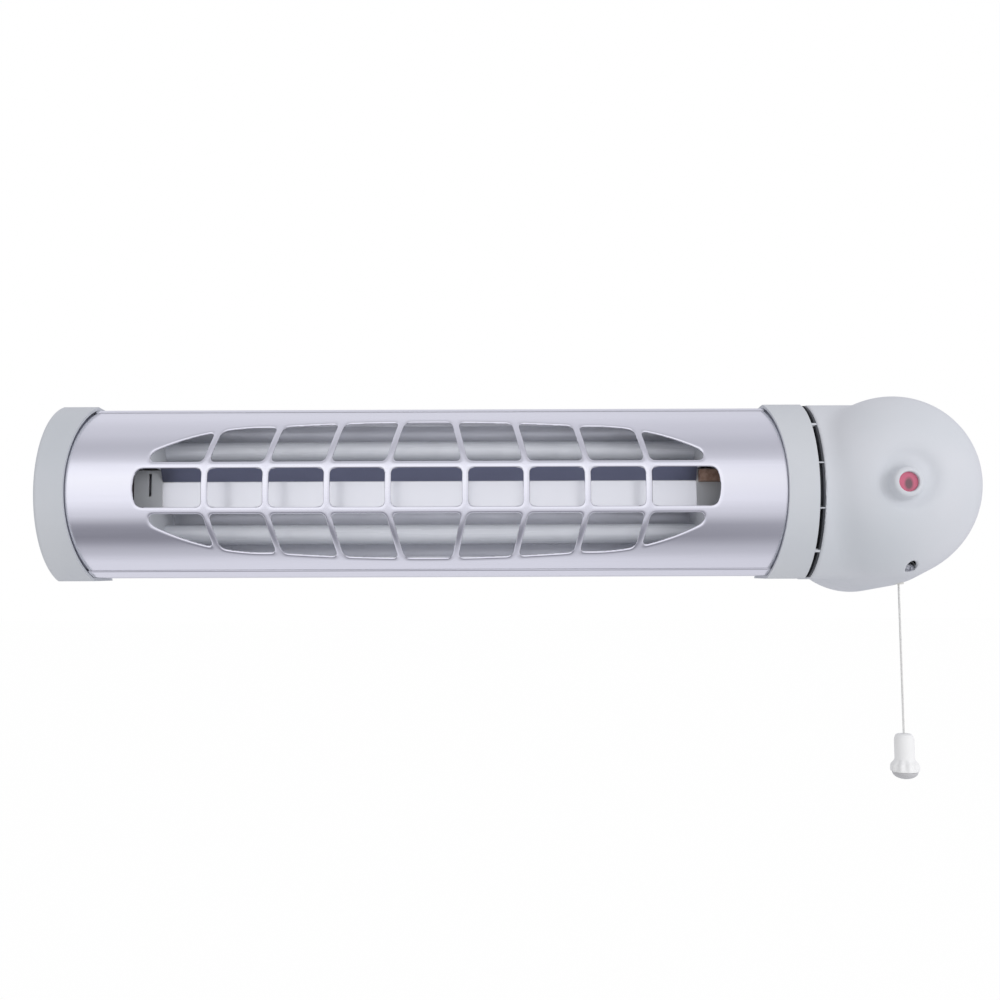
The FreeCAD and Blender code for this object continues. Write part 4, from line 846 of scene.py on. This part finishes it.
def reflector_section():
    """Front of the sheet from bottom to top, as (depth, height)."""
    strip, edge = reflector_low.y, reflector_high.z
    swing = math.acos((strip - TUBE_Y) / TROUGH_RADIUS)
    round_back = [
        (TUBE_Y + TROUGH_RADIUS * math.cos(turn), TROUGH_RADIUS * math.sin(turn))
        for turn in np.linspace(-swing, swing, TROUGH_STEPS)
    ]
    lower = [(y, z - TUBE_Z) for y, z in round_back]
    upper = [(y, z + TUBE_Z) for y, z in round_back]
    lip = strip - (LIP_HEIGHT - CREASE_HEIGHT) * math.tan(math.radians(CREASE_DEGREES))
    crease = [(strip, CREASE_HEIGHT), (lip, LIP_HEIGHT)]
    return np.array([(strip, -edge), *lower, *crease, *upper, (strip, edge)])


def strip_between(name, section, behind, left, right):
    """A sheet between two sections with the same number of points, swept along the lamp."""
    ring = np.concatenate((section, behind[::-1]))
    count = len(ring)
    points = [(x, y, z) for x in (left, right) for y, z in ring]
    faces = [(i, i + count, (i + 1) % count + count, (i + 1) % count) for i in range(count)]
    for i in range(len(section) - 1):
        face = (i, i + 1, count - 2 - i, count - 1 - i)
        faces += [face, tuple(corner + count for corner in face[::-1])]
    return mesh_of(name, points, faces, 20)


front = reflector_section()
way = np.gradient(front, axis=0)
behind = np.stack((way[:, 1], -way[:, 0]), 1)
behind = front + REFLECTOR_METAL * behind / np.linalg.norm(behind, axis=1)[:, None]
reflector_mesh = strip_between("reflector_sheet", front, behind, reflector_low.x, reflector_high.x)
show("reflector_sheet", reflector_mesh, "reflector", ["reflector"])
print("reflector sheet:", len(reflector_mesh.polygons), "faces")

# %% [markdown]
# ## The rear shell
# The back of the housing is a folded channel whose two long edges are hemmed over the front sheet.
# A hem is rolled down tight, so its edge runs out as a soft slope and not as a step; the upper hem
# is the narrower one. The channel's section is drawn with that slope, once for each side of the
# metal, and swept along the lamp like the reflector.

# %% Rear shell
HEM_LIP, UPPER_LIP, HEM_SLOPE, HEM_STEPS = 3.8, 1.8, 1.6, 13
HEM_GAP, HEM_EDGE = 0.05, 0.05
shell_low, shell_high = span("rear_shell")
SHELL_RADIUS = GRILLE_RADIUS + HEM_GAP + SHEET


def hem(length, inset):
    """Stations of a hem from its edge to the fold, on the outer side or set in by the metal."""
    lip = shell_high.z - length
    for rise in np.linspace(lip, shell_high.z - inset, HEM_STEPS):
        run_out = np.clip(1 - (rise - lip) / HEM_SLOPE, 0, 1)
        radius = SHELL_RADIUS - max(inset, (SHEET - HEM_EDGE) * run_out ** 2)
        yield AXIS_Y - math.sqrt(radius ** 2 - rise ** 2), rise


def channel(inset):
    """Section of the channel from the lower hem round the back to the upper hem."""
    half, back = shell_high.z - inset, shell_high.y - inset
    lower = [(y, -z) for y, z in hem(HEM_LIP, inset)]
    upper = list(hem(UPPER_LIP, inset))
    return np.array(lower + [(back, -half), (back, half)] + upper[::-1])


shell_mesh = strip_between("shell_sheet", channel(SHEET), channel(0), shell_low.x, shell_high.x)
show("shell_sheet", shell_mesh, "rear_shell", ["rear_shell"])
print("rear shell hems:", HEM_LIP, "and", UPPER_LIP, "mm")

# %% [markdown]
# ## Eased edges
# Folded plates, caps and turned parts leave the construction with knife edges. Real edges are
# broken: a plate is tumbled and a moulding is rounded in its tool. A copy of each visible solid
# is welded, its flat faces are joined up, and every sharp edge gets a narrow bevel. The caps also
# narrow a little towards the wall, as a moulding does so that it leaves its tool.

# %% Eased copies of the solids
DRAFT_FROM, FLAT_DEGREES, WELD, SHARP_DEGREES, FACE_WEIGHT = 17.0, 0.3, 1e-6, 30, 80


def eased(node, width, draft=0.0, slot=None):
    """A copy of a solid with its sharp edges bevelled and, for a moulding, a draft to the rear."""
    form = bmesh.new()
    form.from_mesh(NODES[node].data)
    for vert in form.verts:
        vert.co.z *= 1 - draft * max(vert.co.y - (AXIS_Y - DRAFT_FROM) * MM, 0)
    flat, sharp = math.radians(FLAT_DEGREES), math.radians(SHARP_DEGREES)
    bmesh.ops.remove_doubles(form, verts=form.verts, dist=WELD)
    bmesh.ops.dissolve_limit(form, angle_limit=flat, verts=form.verts, edges=form.edges)
    edges = [edge for edge in form.edges if edge.is_manifold and edge.calc_face_angle() > sharp]
    bmesh.ops.bevel(
        form, geom=edges, offset=width * MM, segments=2, profile=0.5, affect="EDGES", clamp_overlap=True
    )
    mesh = bpy.data.meshes.new(node + "_eased")
    form.to_mesh(mesh)
    form.free()
    for layer in ("custom_normal", "sharp_edge", "sharp_face"):
        if layer in mesh.attributes:
            mesh.attributes.remove(mesh.attributes[layer])
    mesh.polygons.foreach_set("use_smooth", [True] * len(mesh.polygons))
    piece = show(node + "_eased", mesh, node, [node], slot)
    piece.modifiers.new("even_faces", "WEIGHTED_NORMAL").weight = FACE_WEIGHT
    return piece


EASED = {
    "left_end_cap": {"width": 0.6, "draft": 0.5},
    "right_end_cap": {"width": 0.6, "draft": 0.5},
    "tube_bracket_left": {"width": 0.15, "slot": "bracket_paint"},
    "tube_bracket_right": {"width": 0.15, "slot": "bracket_paint"},
    "left_bracket": {"width": 0.4},
    # the swivel collar keeps its near-black finish, which is painted shade for the swivel gap
    "swivel_collar": {"width": 0.15},
    "link_terminal": {"width": 0.5},
    "wall_base": {"width": 0.4},
}
for node, settings in EASED.items():
    print(node, len(eased(node, **settings).data.polygons), "faces")

# %% [markdown]
# ## Ribs across the swivel gap
# The lamp turns against short ribs that stand in the dark gap beside the neck. They belong to the
# pale moulding of the head and show as light ticks in the black line. Each tick is a small block
# on the end of a rib of the collar, set at the same angles; the inner pair is slimmer.

# %% Rib ends
RIB_START, RIB_STEP, RIB_THICK, RIB_TIP = 13.0, 29.0, 1.6, 1.2
INNER_THICK, TICK_PROUD = 0.5, 0.06
BLOCK_FACES = [(0, 1, 3, 2), (4, 6, 7, 5), (0, 4, 5, 1), (2, 3, 7, 6), (0, 2, 6, 4), (1, 5, 7, 3)]
collar_low, collar_high = span("swivel_collar")
COLLAR_RADIUS = AXIS_Y - collar_low.y
half_rib = math.degrees(RIB_THICK / 2 / COLLAR_RADIUS)


def rib_end(turn, thick):
    """Corners of a small block on a rib, at an angle above straight ahead."""
    ahead = np.array((0, -math.cos(turn), math.sin(turn)))
    beside = np.array((0, math.sin(turn), math.cos(turn)))
    middle = np.array((0, AXIS_Y, 0)) + ahead * (COLLAR_RADIUS - RIB_TIP / 2 + TICK_PROUD)
    return [
        middle + (x, 0, 0) + ahead * out * RIB_TIP / 2 + beside * side * (thick / 2 + TICK_PROUD)
        for x in (collar_low.x - TICK_PROUD, collar_high.x)
        for out in (-1, 1)
        for side in (-1, 1)
    ]


tick_points, tick_faces = [], []
for step in range(2):
    for side in (1, -1):
        turn = math.radians(side * (RIB_START + half_rib + RIB_STEP * step))
        tick_faces += [tuple(len(tick_points) + corner for corner in face) for face in BLOCK_FACES]
        tick_points += rib_end(turn, RIB_THICK if step else INNER_THICK)
tick_mesh = mesh_of("collar_ticks", tick_points, tick_faces, 30)
show("collar_ticks", tick_mesh, "swivel_collar", ["swivel_collar"], "head_plastic")
print("collar ribs:", len(tick_faces) // len(BLOCK_FACES))

# %% [markdown]
# ## The cord
# The pull cord is thin twisted rope that hangs straight under the knob's weight. A plain tube
# would read as wire, so three strands are wound round the cord's line. The line itself is a curve
# through the few points of its route, and the strands follow points that are read from it.

# %% Line of the cord
CORD_DIAMETER = 1.4
FREE_STOPS, INNER_STOPS = (-86, -116), (-45, -51)
CORD_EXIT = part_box("cord_bush")[0].z / MM
free_route = [(CORD_X, CORD_Y, z) for z in (CORD_EXIT, *FREE_STOPS, cord_low.z)]
inner_route = [(CORD_X, CORD_Y, z) for z in (cord_high.z, *INNER_STOPS, CORD_EXIT)]


def smooth_line(route, spacing):
    """Points, in millimetres, along a smooth curve that a route steers."""
    curve = bpy.data.curves.new("route", "CURVE")
    curve.dimensions = "3D"
    pieces = math.dist(route[0], route[-1]) / spacing / (len(route) - 2)
    curve.resolution_u = max(round(pieces), 1)
    spline = curve.splines.new("NURBS")
    spline.points.add(len(route) - 1)
    for point, place in zip(spline.points, route):
        point.co = (*(v * MM for v in place), 1)
    spline.order_u = 3
    spline.use_endpoint_u = True
    holder = in_scene("route", curve)
    line = bpy.data.meshes.new_from_object(holder)
    points = np.array([v.co[:] for v in line.vertices]) / MM
    bpy.data.objects.remove(holder)
    bpy.data.meshes.remove(line)
    bpy.data.curves.remove(curve)
    return points


print("cord leaves the bush at", round(CORD_EXIT, 1), "mm")

# %% [markdown]
# A strand is a tube whose centre winds round the cord's line. One helper joins rings of points
# into a closed tube; the knob, the spring and the screws use it again.

# %% Pull cord
STRANDS, STRAND_SIDES, STRAND_SWELL = 3, 8, 1.16
LAY_LENGTH, RINGS_IN_A_TURN = 4.0, 14


def tube_faces(start, rings, sides, flip=False):
    """Quads between rings of points and a face on either end; flip turns them all over."""
    faces = []
    for ring in range(rings - 1):
        for side in range(sides):
            a = start + ring * sides + side
            b = start + ring * sides + (side + 1) % sides
            faces.append((a, b, b + sides, a + sides))
    last = start + (rings - 1) * sides
    faces.append(tuple(reversed(range(start, start + sides))))
    faces.append(tuple(range(last, last + sides)))
    return [face[::-1] for face in faces] if flip else faces


def rope(name, route):
    """Twisted strands along a hanging route; returns the mesh and the line it follows."""
    line = smooth_line(route, LAY_LENGTH / RINGS_IN_A_TURN)
    strand_radius = CORD_DIAMETER / 2 / (1 + 2 / math.sqrt(3)) * STRAND_SWELL
    offset = CORD_DIAMETER / 2 - strand_radius
    run = np.concatenate(([0], np.cumsum(np.linalg.norm(np.diff(line, axis=0), axis=1))))
    points, faces = [], []
    for strand in range(STRANDS):
        faces += tube_faces(len(points), len(line), STRAND_SIDES, flip=True)
        for centre, way in zip(line, run):
            turn = 2 * math.pi * (way / LAY_LENGTH + strand / STRANDS)
            hub = centre + offset * np.array((math.cos(turn), math.sin(turn), 0))
            for side in range(STRAND_SIDES):
                angle = 2 * math.pi * side / STRAND_SIDES
                points.append(hub + strand_radius * np.array((math.cos(angle), math.sin(angle), 0)))
    return mesh_of(name, points, faces, 60), line


free_mesh, free_line = rope("free_cord", free_route)
free_cord = show("free_cord", free_mesh, "pull_cord", ["pull_cord"])
inner_mesh = rope("inner_cord", inner_route)[0]
show("inner_cord", inner_mesh, "pull_cord", ["pull_cord"])

# %% [markdown]
# ## The knob
# The knob is a small bell with a scalloped rim for wet fingers and a darker plug below. It is a
# turned form, so its radius is given at a few heights and swept round the cord; the scallops are
# a wave in that radius that is strongest at the rim.

# %% Turned forms
TURNED_SIDES, ARC_PIECES = 120, 6


def turned(name, profile, wave=None):
    """A form turned about the cord from (height, radius) stations, with a wave in its radius."""
    points = []
    for height, radius in profile:
        for side in range(TURNED_SIDES):
            angle = 2 * math.pi * side / TURNED_SIDES
            reach = radius - (wave(height, angle) if wave else 0)
            points.append((CORD_X + reach * math.cos(angle), CORD_Y + reach * math.sin(angle), height))
    return mesh_of(name, points, tube_faces(0, len(profile), TURNED_SIDES, flip=True), 50)


def rounded_profile(corners, radius):
    """Stations along a profile with its inner corners rounded by quadratic arcs."""
    stations = [corners[0]]
    for before, corner, after in zip(corners, corners[1:], corners[2:]):
        b, c, a = (np.array(point, float) for point in (before, corner, after))
        entry = c + (b - c) * min(radius / np.linalg.norm(b - c), 0.5)
        leave = c + (a - c) * min(radius / np.linalg.norm(a - c), 0.5)
        for step in range(ARC_PIECES + 1):
            t = step / ARC_PIECES
            stations.append(tuple((1 - t) ** 2 * entry + 2 * t * (1 - t) * c + t * t * leave))
    return stations + [corners[-1]]


print("turned forms have", TURNED_SIDES, "sides")

# %% [markdown]
# Bell and plug are two mouldings that close over the end of the cord. Each is given by a few
# corners of its section.

# %% Knob
KNOB_NECK, KNOB_WAIST, KNOB_RIM, KNOB_ROUND = 4.6, 5.8, 8.5, 1.5
NECK_DROP, FLANGE_DROP, RIM_DROP = 3.0, 15.5, 2.5
FLUTES, FLUTE_DEPTH, FLUTE_FADE, FLUTE_FOOT, FOOT_SHARE = 10, 1.0, 3.5, 1.6, 0.25
FLUTE_ABOVE, FLUTE_BELOW = 1.0, 0.2
PLUG_RADIUS, PLUG_STEPS, PLUG_TIP = 7.5, 8, 0.05
knob_low, knob_high = span("knob_body")
KNOB_TOP, KNOB_LOW = knob_high.z, knob_low.z
FLANGE_TOP = KNOB_TOP - FLANGE_DROP
plug_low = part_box("knob_cap")[0].z / MM


def scallops(height, angle):
    share = np.clip((FLANGE_TOP + FLUTE_ABOVE - height) / FLUTE_FADE, 0, 1)
    share *= np.clip((height - KNOB_LOW - FLUTE_BELOW) / FLUTE_FOOT, FOOT_SHARE, 1)
    return FLUTE_DEPTH * share * (0.5 + 0.5 * math.cos(FLUTES * angle))


bell = rounded_profile(
    [
        (KNOB_TOP, CORD_DIAMETER / 2),
        (KNOB_TOP, KNOB_NECK),
        (KNOB_TOP - NECK_DROP, KNOB_WAIST),
        (FLANGE_TOP, KNOB_WAIST),
        (FLANGE_TOP - RIM_DROP, KNOB_RIM),
        (KNOB_LOW, KNOB_RIM),
        (KNOB_LOW, CORD_DIAMETER / 2),
    ],
    KNOB_ROUND,
)
plug = [(KNOB_LOW, PLUG_RADIUS)]
for step in range(1, PLUG_STEPS + 1):
    turn = math.pi / 2 * step / PLUG_STEPS
    height = KNOB_LOW - (KNOB_LOW - plug_low) * math.sin(turn)
    plug.append((height, max(PLUG_RADIUS * math.cos(turn), PLUG_TIP)))
knob = show("knob_bell", turned("knob_bell", bell, wave=scallops), "knob_body", ["knob_body"])
knob_plug = show("knob_plug", turned("knob_plug", plug), "knob_cap", ["knob_cap"])
print("knob from", round(KNOB_TOP, 1), "to", round(plug_low, 1), "mm")

# %% [markdown]
# ## The return spring
# A coil spring under the plunger's disc lifts the cord again after each pull. It is wound from
# steel wire on a mandrel, so a round wire is swept along a helix. The disc presses the spring
# together when the cord is pulled.

# %% Return spring
SPRING_WIRE, SPRING_TURNS = 0.7, 7
TURN_STEPS, WIRE_SIDES = 36, 10
spring_low, spring_high = span("return_spring")
coil_radius = (spring_high.x - spring_low.x - SPRING_WIRE) / 2
spring_length = spring_high.z - spring_low.z
wire_rings = SPRING_TURNS * TURN_STEPS + 1
wire_points = []
for ring in range(wire_rings):
    turn = 2 * math.pi * ring / TURN_STEPS
    outwards = np.array((math.cos(turn), math.sin(turn), 0))
    rise = SPRING_WIRE / 2 + (spring_length - SPRING_WIRE) * ring / (wire_rings - 1)
    hub = np.array((CORD_X, CORD_Y, spring_low.z + rise)) + coil_radius * outwards
    for side in range(WIRE_SIDES):
        angle = 2 * math.pi * side / WIRE_SIDES
        reach = outwards * math.cos(angle) + np.array((0, 0, math.sin(angle)))
        wire_points.append(hub + SPRING_WIRE / 2 * reach)
wire_mesh = mesh_of("spring_coil", wire_points, tube_faces(0, wire_rings, WIRE_SIDES), 60)
coil = show("spring_coil", wire_mesh, "return_spring", ["return_spring"])
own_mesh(coil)

# %% [markdown]
# ## Screw heads
# A cross recess is what makes a small grey disc read as a screw. The head is turned as a low dome,
# and the cross is pressed into it by lowering the points that lie within two crossed bars. The
# same function makes the cover screw and the four screws on the backs of the caps.

# %% Form of a screw
SCREW_RINGS, SCREW_SIDES = 22, 72
CROSS_REACH, CROSS_HALF, CROSS_DEPTH, CROSS_WALL = 0.62, 0.13, 0.42, 0.05
HEAD_EDGE, SHANK_TIP, DOME_TIP = 0.45, 0.05, 0.02


def screw_stations(head_radius, head_depth, shank_radius, length):
    """(Depth, radius) from the shank's end over the seat, at depth 0, to the top of the head."""
    edge = -head_depth * HEAD_EDGE
    stations = [(length, SHANK_TIP), (length, shank_radius), (0, shank_radius), (0, head_radius)]
    stations.append((edge, head_radius))
    for ring in range(1, SCREW_RINGS + 1):
        share = 1 - ring / SCREW_RINGS
        rise = edge - (head_depth + edge) * math.sqrt(1 - share ** 2)
        stations.append((rise, max(head_radius * share, DOME_TIP)))
    return stations


def screw_mesh(name, centres, head_radius, head_depth, shank_radius, length, way):
    """Screws along Y; way is -1 where the heads look forward and +1 where they look back."""
    stations = screw_stations(head_radius, head_depth, shank_radius, length)
    points, faces = [], []
    for x, seat, z in centres:
        faces += tube_faces(len(points), len(stations), SCREW_SIDES, flip=way < 0)
        for depth, radius in stations:
            for side in range(SCREW_SIDES):
                angle = 2 * math.pi * side / SCREW_SIDES
                u, v = radius * math.cos(angle), radius * math.sin(angle)
                near, far = sorted((abs(u), abs(v)))
                wall = (CROSS_HALF * head_radius - near) / (CROSS_WALL * head_radius)
                end = (CROSS_REACH * head_radius - far) / (CROSS_WALL * head_radius)
                on_dome = depth < -head_depth * HEAD_EDGE
                sunk = min(max(min(wall, end), 0), 1) if on_dome else 0
                points.append((x + u, seat - way * (depth + sunk * CROSS_DEPTH * head_depth), z + v))
    return mesh_of(name, points, faces, 35)


print("screw heads have", SCREW_RINGS, "rings")

# %% [markdown]
# One screw holds the cover and four hold the caps. They take their places from the solids; only
# the cover screw stands a little further out in its recess, where it catches more light.

# %% Screws
CAP_SCREW_HEAD, CAP_SCREW_DEPTH, CAP_SCREW_SHANK = 3.0, 2.0, 1.4
cover_head = (screw_high.x - screw_low.x) / 2
cover_length = screw_high.y - SCREW_SEAT
cover_centre = [(COVER_SCREW_X, SCREW_SEAT, COVER_SCREW_Z)]
cover_mesh = screw_mesh(
    "cover_screw", cover_centre, cover_head, SCREW_HEAD_DEPTH, SCREW_SHANK, cover_length, -1
)
show("cover_screw_head", cover_mesh, "cover_screw", ["cover_screw"])
caps_low, caps_high = span("end_cap_screws")
cap_seat = caps_high.y - CAP_SCREW_DEPTH
cap_centres = [
    (x, cap_seat, z)
    for x in (caps_low.x + CAP_SCREW_HEAD, caps_high.x - CAP_SCREW_HEAD)
    for z in (caps_low.z + CAP_SCREW_HEAD, caps_high.z - CAP_SCREW_HEAD)
]
cap_length = cap_seat - caps_low.y
cap_mesh = screw_mesh(
    "cap_screws", cap_centres, CAP_SCREW_HEAD, CAP_SCREW_DEPTH, CAP_SCREW_SHANK, cap_length, 1
)
show("cap_screw_heads", cap_mesh, "end_cap_screws", ["end_cap_screws"])
print("screws:", len(cover_centre) + len(cap_centres))

# %% [markdown]
# ## Finishes on the other solids
# What is left are the solids whose shape is right as it is: tubes, ceramics, leads and the parts
# inside the head. Each one only swaps its plain colour for the finish of its slot.

# %% Finish the remaining nodes
for node, item in NODES.items():
    name = slot_of(node)
    item.data.materials.clear()
    item.data.materials.append(FINISHES[name])
print("finished nodes:", len(NODES))

# %% [markdown]
# ## The floor
# The heater hangs in white space over a pale floor that throws soft light up at it. A real sweep
# of paper would show its own shading, so the floor glows almost white to the camera and stays a
# plain pale grey for the light that it passes on. Mirrors don't see it.

# %% Floor
FLOOR_Z, FLOOR_SIZE, FLOOR_GREY, FLOOR_GLOW = -0.32, 12.0, 0.9, 0.985
floor_mesh = bpy.data.meshes.new("floor")
floor_mesh.from_pydata(
    [(x * FLOOR_SIZE, y * FLOOR_SIZE, FLOOR_Z) for x, y in ((-1, -1), (1, -1), (1, 1), (-1, 1))],
    [],
    [(0, 1, 2, 3)],
)
floor = in_scene("floor", floor_mesh)
floor_finish = bpy.data.materials.new("pale_floor")
floor_finish.use_nodes = True
tree = floor_finish.node_tree
tree.nodes.clear()
out = add_node(tree, "OutputMaterial")
ground = add_node(tree, "BsdfDiffuse", color=(FLOOR_GREY, FLOOR_GREY, FLOOR_GREY, 1))
glow = add_node(tree, "Emission")
seen = add_node(tree, "LightPath")
either = add_node(tree, "Math", operation="MAXIMUM")
share = add_node(tree, "Math", operation="MULTIPLY")
share.inputs[1].default_value = FLOOR_GLOW
blend = add_node(tree, "MixShader")
connect(
    tree,
    (seen.outputs["Is Camera Ray"], either.inputs[0]),
    (seen.outputs["Is Transmission Ray"], either.inputs[1]),
    (either.outputs[0], share.inputs[0]),
    (share.outputs[0], blend.inputs["Fac"]),
    (ground.outputs[0], blend.inputs[1]),
    (glow.outputs[0], blend.inputs[2]),
    (blend.outputs[0], out.inputs["Surface"]),
)
floor_mesh.materials.append(floor_finish)
floor.visible_glossy = False
print("floor at", FLOOR_Z)

# %% [markdown]
# ## The room that the metal mirrors
# Bright metal shows little of itself and much of its room, so mirror rays need something to see. A
# picture of a studio could be wrapped round the scene; a few bands of light are easier to tune.
# Each band is a turn from straight ahead, up and over, in degrees, with its brightness on screen:
# light ahead and overhead, darker towards the floor, as between two large diffusers. Towards the
# right the bands fade into an even grey, and all of them are a little blue.

# %% Mirrored studio
STUDIO = [
    (-180, 190), (-140, 216), (-104, 218), (-84, 186), (-62, 132), (-48, 140), (-28, 214), (-10, 240),
    (16, 248), (34, 244), (46, 196), (60, 182), (90, 202), (125, 216), (180, 190),
]
STUDIO_LIGHT, STUDIO_BLUE = 1.08, 10
FADE_SIDE, FADE_SHARE, FADE_LEVEL = (0.05, 0.30), 0.36, 192

world = bpy.data.worlds.new("studio")
bpy.context.scene.world = world
world.use_nodes = True
tree = world.node_tree
tree.nodes.clear()
place = add_node(tree, "TexCoord")
axes = add_node(tree, "SeparateXYZ")
ahead = add_node(tree, "Math", operation="MULTIPLY")
ahead.inputs[1].default_value = -1
turn = add_node(tree, "Math", operation="ARCTAN2")
share = add_node(tree, "MapRange")
share.inputs["From Min"].default_value = -math.pi
share.inputs["From Max"].default_value = math.pi
ramp = add_node(tree, "ValToRGB")
ramp.color_ramp.interpolation = "EASE"
while len(ramp.color_ramp.elements) < len(STUDIO):
    ramp.color_ramp.elements.new(0.5)
for element, (degrees, level) in zip(ramp.color_ramp.elements, STUDIO):
    element.position = (degrees + 180) / 360
    element.color = linear((level, level, min(level + STUDIO_BLUE, 255)))
side = add_node(tree, "MapRange")
side.inputs["From Min"].default_value, side.inputs["From Max"].default_value = FADE_SIDE
side.inputs["To Max"].default_value = FADE_SHARE
faded = add_node(tree, "MixRGB")
faded.inputs["Color2"].default_value = linear((FADE_LEVEL, FADE_LEVEL, FADE_LEVEL + STUDIO_BLUE))
mirrored = add_node(tree, "Background", strength=STUDIO_LIGHT)
connect(
    tree,
    (place.outputs["Generated"], axes.inputs[0]),
    (axes.outputs["Y"], ahead.inputs[0]),
    (axes.outputs["Z"], turn.inputs[0]),
    (ahead.outputs[0], turn.inputs[1]),
    (turn.outputs[0], share.inputs["Value"]),
    (share.outputs["Result"], ramp.inputs["Fac"]),
    (axes.outputs["X"], side.inputs["Value"]),
    (side.outputs["Result"], faded.inputs["Fac"]),
    (ramp.outputs["Color"], faded.inputs["Color1"]),
    (faded.outputs["Color"], mirrored.inputs["Color"]),
)
print("studio bands:", len(STUDIO))

# %% [markdown]
# ## Even light and a white ground
# The photograph has a pure white ground and hardly a shadow. Camera rays therefore see white, while
# diffuse light comes evenly from all round at a lower strength, so that the pale plastic keeps its
# grey.

# %% Room light
ROOM_LIGHT = 0.77
WHITE = (1, 1, 1, 1)

room = add_node(tree, "Background", color=WHITE, strength=ROOM_LIGHT)
white = add_node(tree, "Background", color=WHITE)
seen = add_node(tree, "LightPath")
either = add_node(tree, "Math", operation="MAXIMUM")
metal_view = add_node(tree, "MixShader")
final = add_node(tree, "MixShader")
out = add_node(tree, "OutputWorld")
connect(
    tree,
    (seen.outputs["Is Glossy Ray"], metal_view.inputs["Fac"]),
    (room.outputs[0], metal_view.inputs[1]),
    (mirrored.outputs[0], metal_view.inputs[2]),
    (seen.outputs["Is Camera Ray"], either.inputs[0]),
    (seen.outputs["Is Transmission Ray"], either.inputs[1]),
    (either.outputs[0], final.inputs["Fac"]),
    (metal_view.outputs[0], final.inputs[1]),
    (white.outputs[0], final.inputs[2]),
    (final.outputs[0], out.inputs["Surface"]),
)
print("room light:", ROOM_LIGHT)

# %% [markdown]
# ## The soft lamp
# Even light alone would leave the dome flat. One large square lamp to the right of the camera gives
# it a gentle turn of shade, as a window would. It is hidden from mirror rays, so that no square
# shows up in the sheet metal.

# %% Soft lamp
LAMP_PLACE, LAMP_AIM = Vector((1.2, -1.4, 0.3)), Vector((0.0, -0.05, 0.0))
LAMP_SIZE, LAMP_POWER = 1.0, 9.0
soft_data = bpy.data.lights.new("soft_lamp", "AREA")
soft_data.shape = "RECTANGLE"
soft_data.size, soft_data.size_y = LAMP_SIZE, LAMP_SIZE
soft_data.energy = LAMP_POWER
soft = in_scene("soft_lamp", soft_data)
soft.location = LAMP_PLACE
soft.rotation_euler = (LAMP_AIM - LAMP_PLACE).to_track_quat("-Z", "Y").to_euler()
soft.visible_glossy = False
print("soft lamp:", LAMP_POWER, "W")
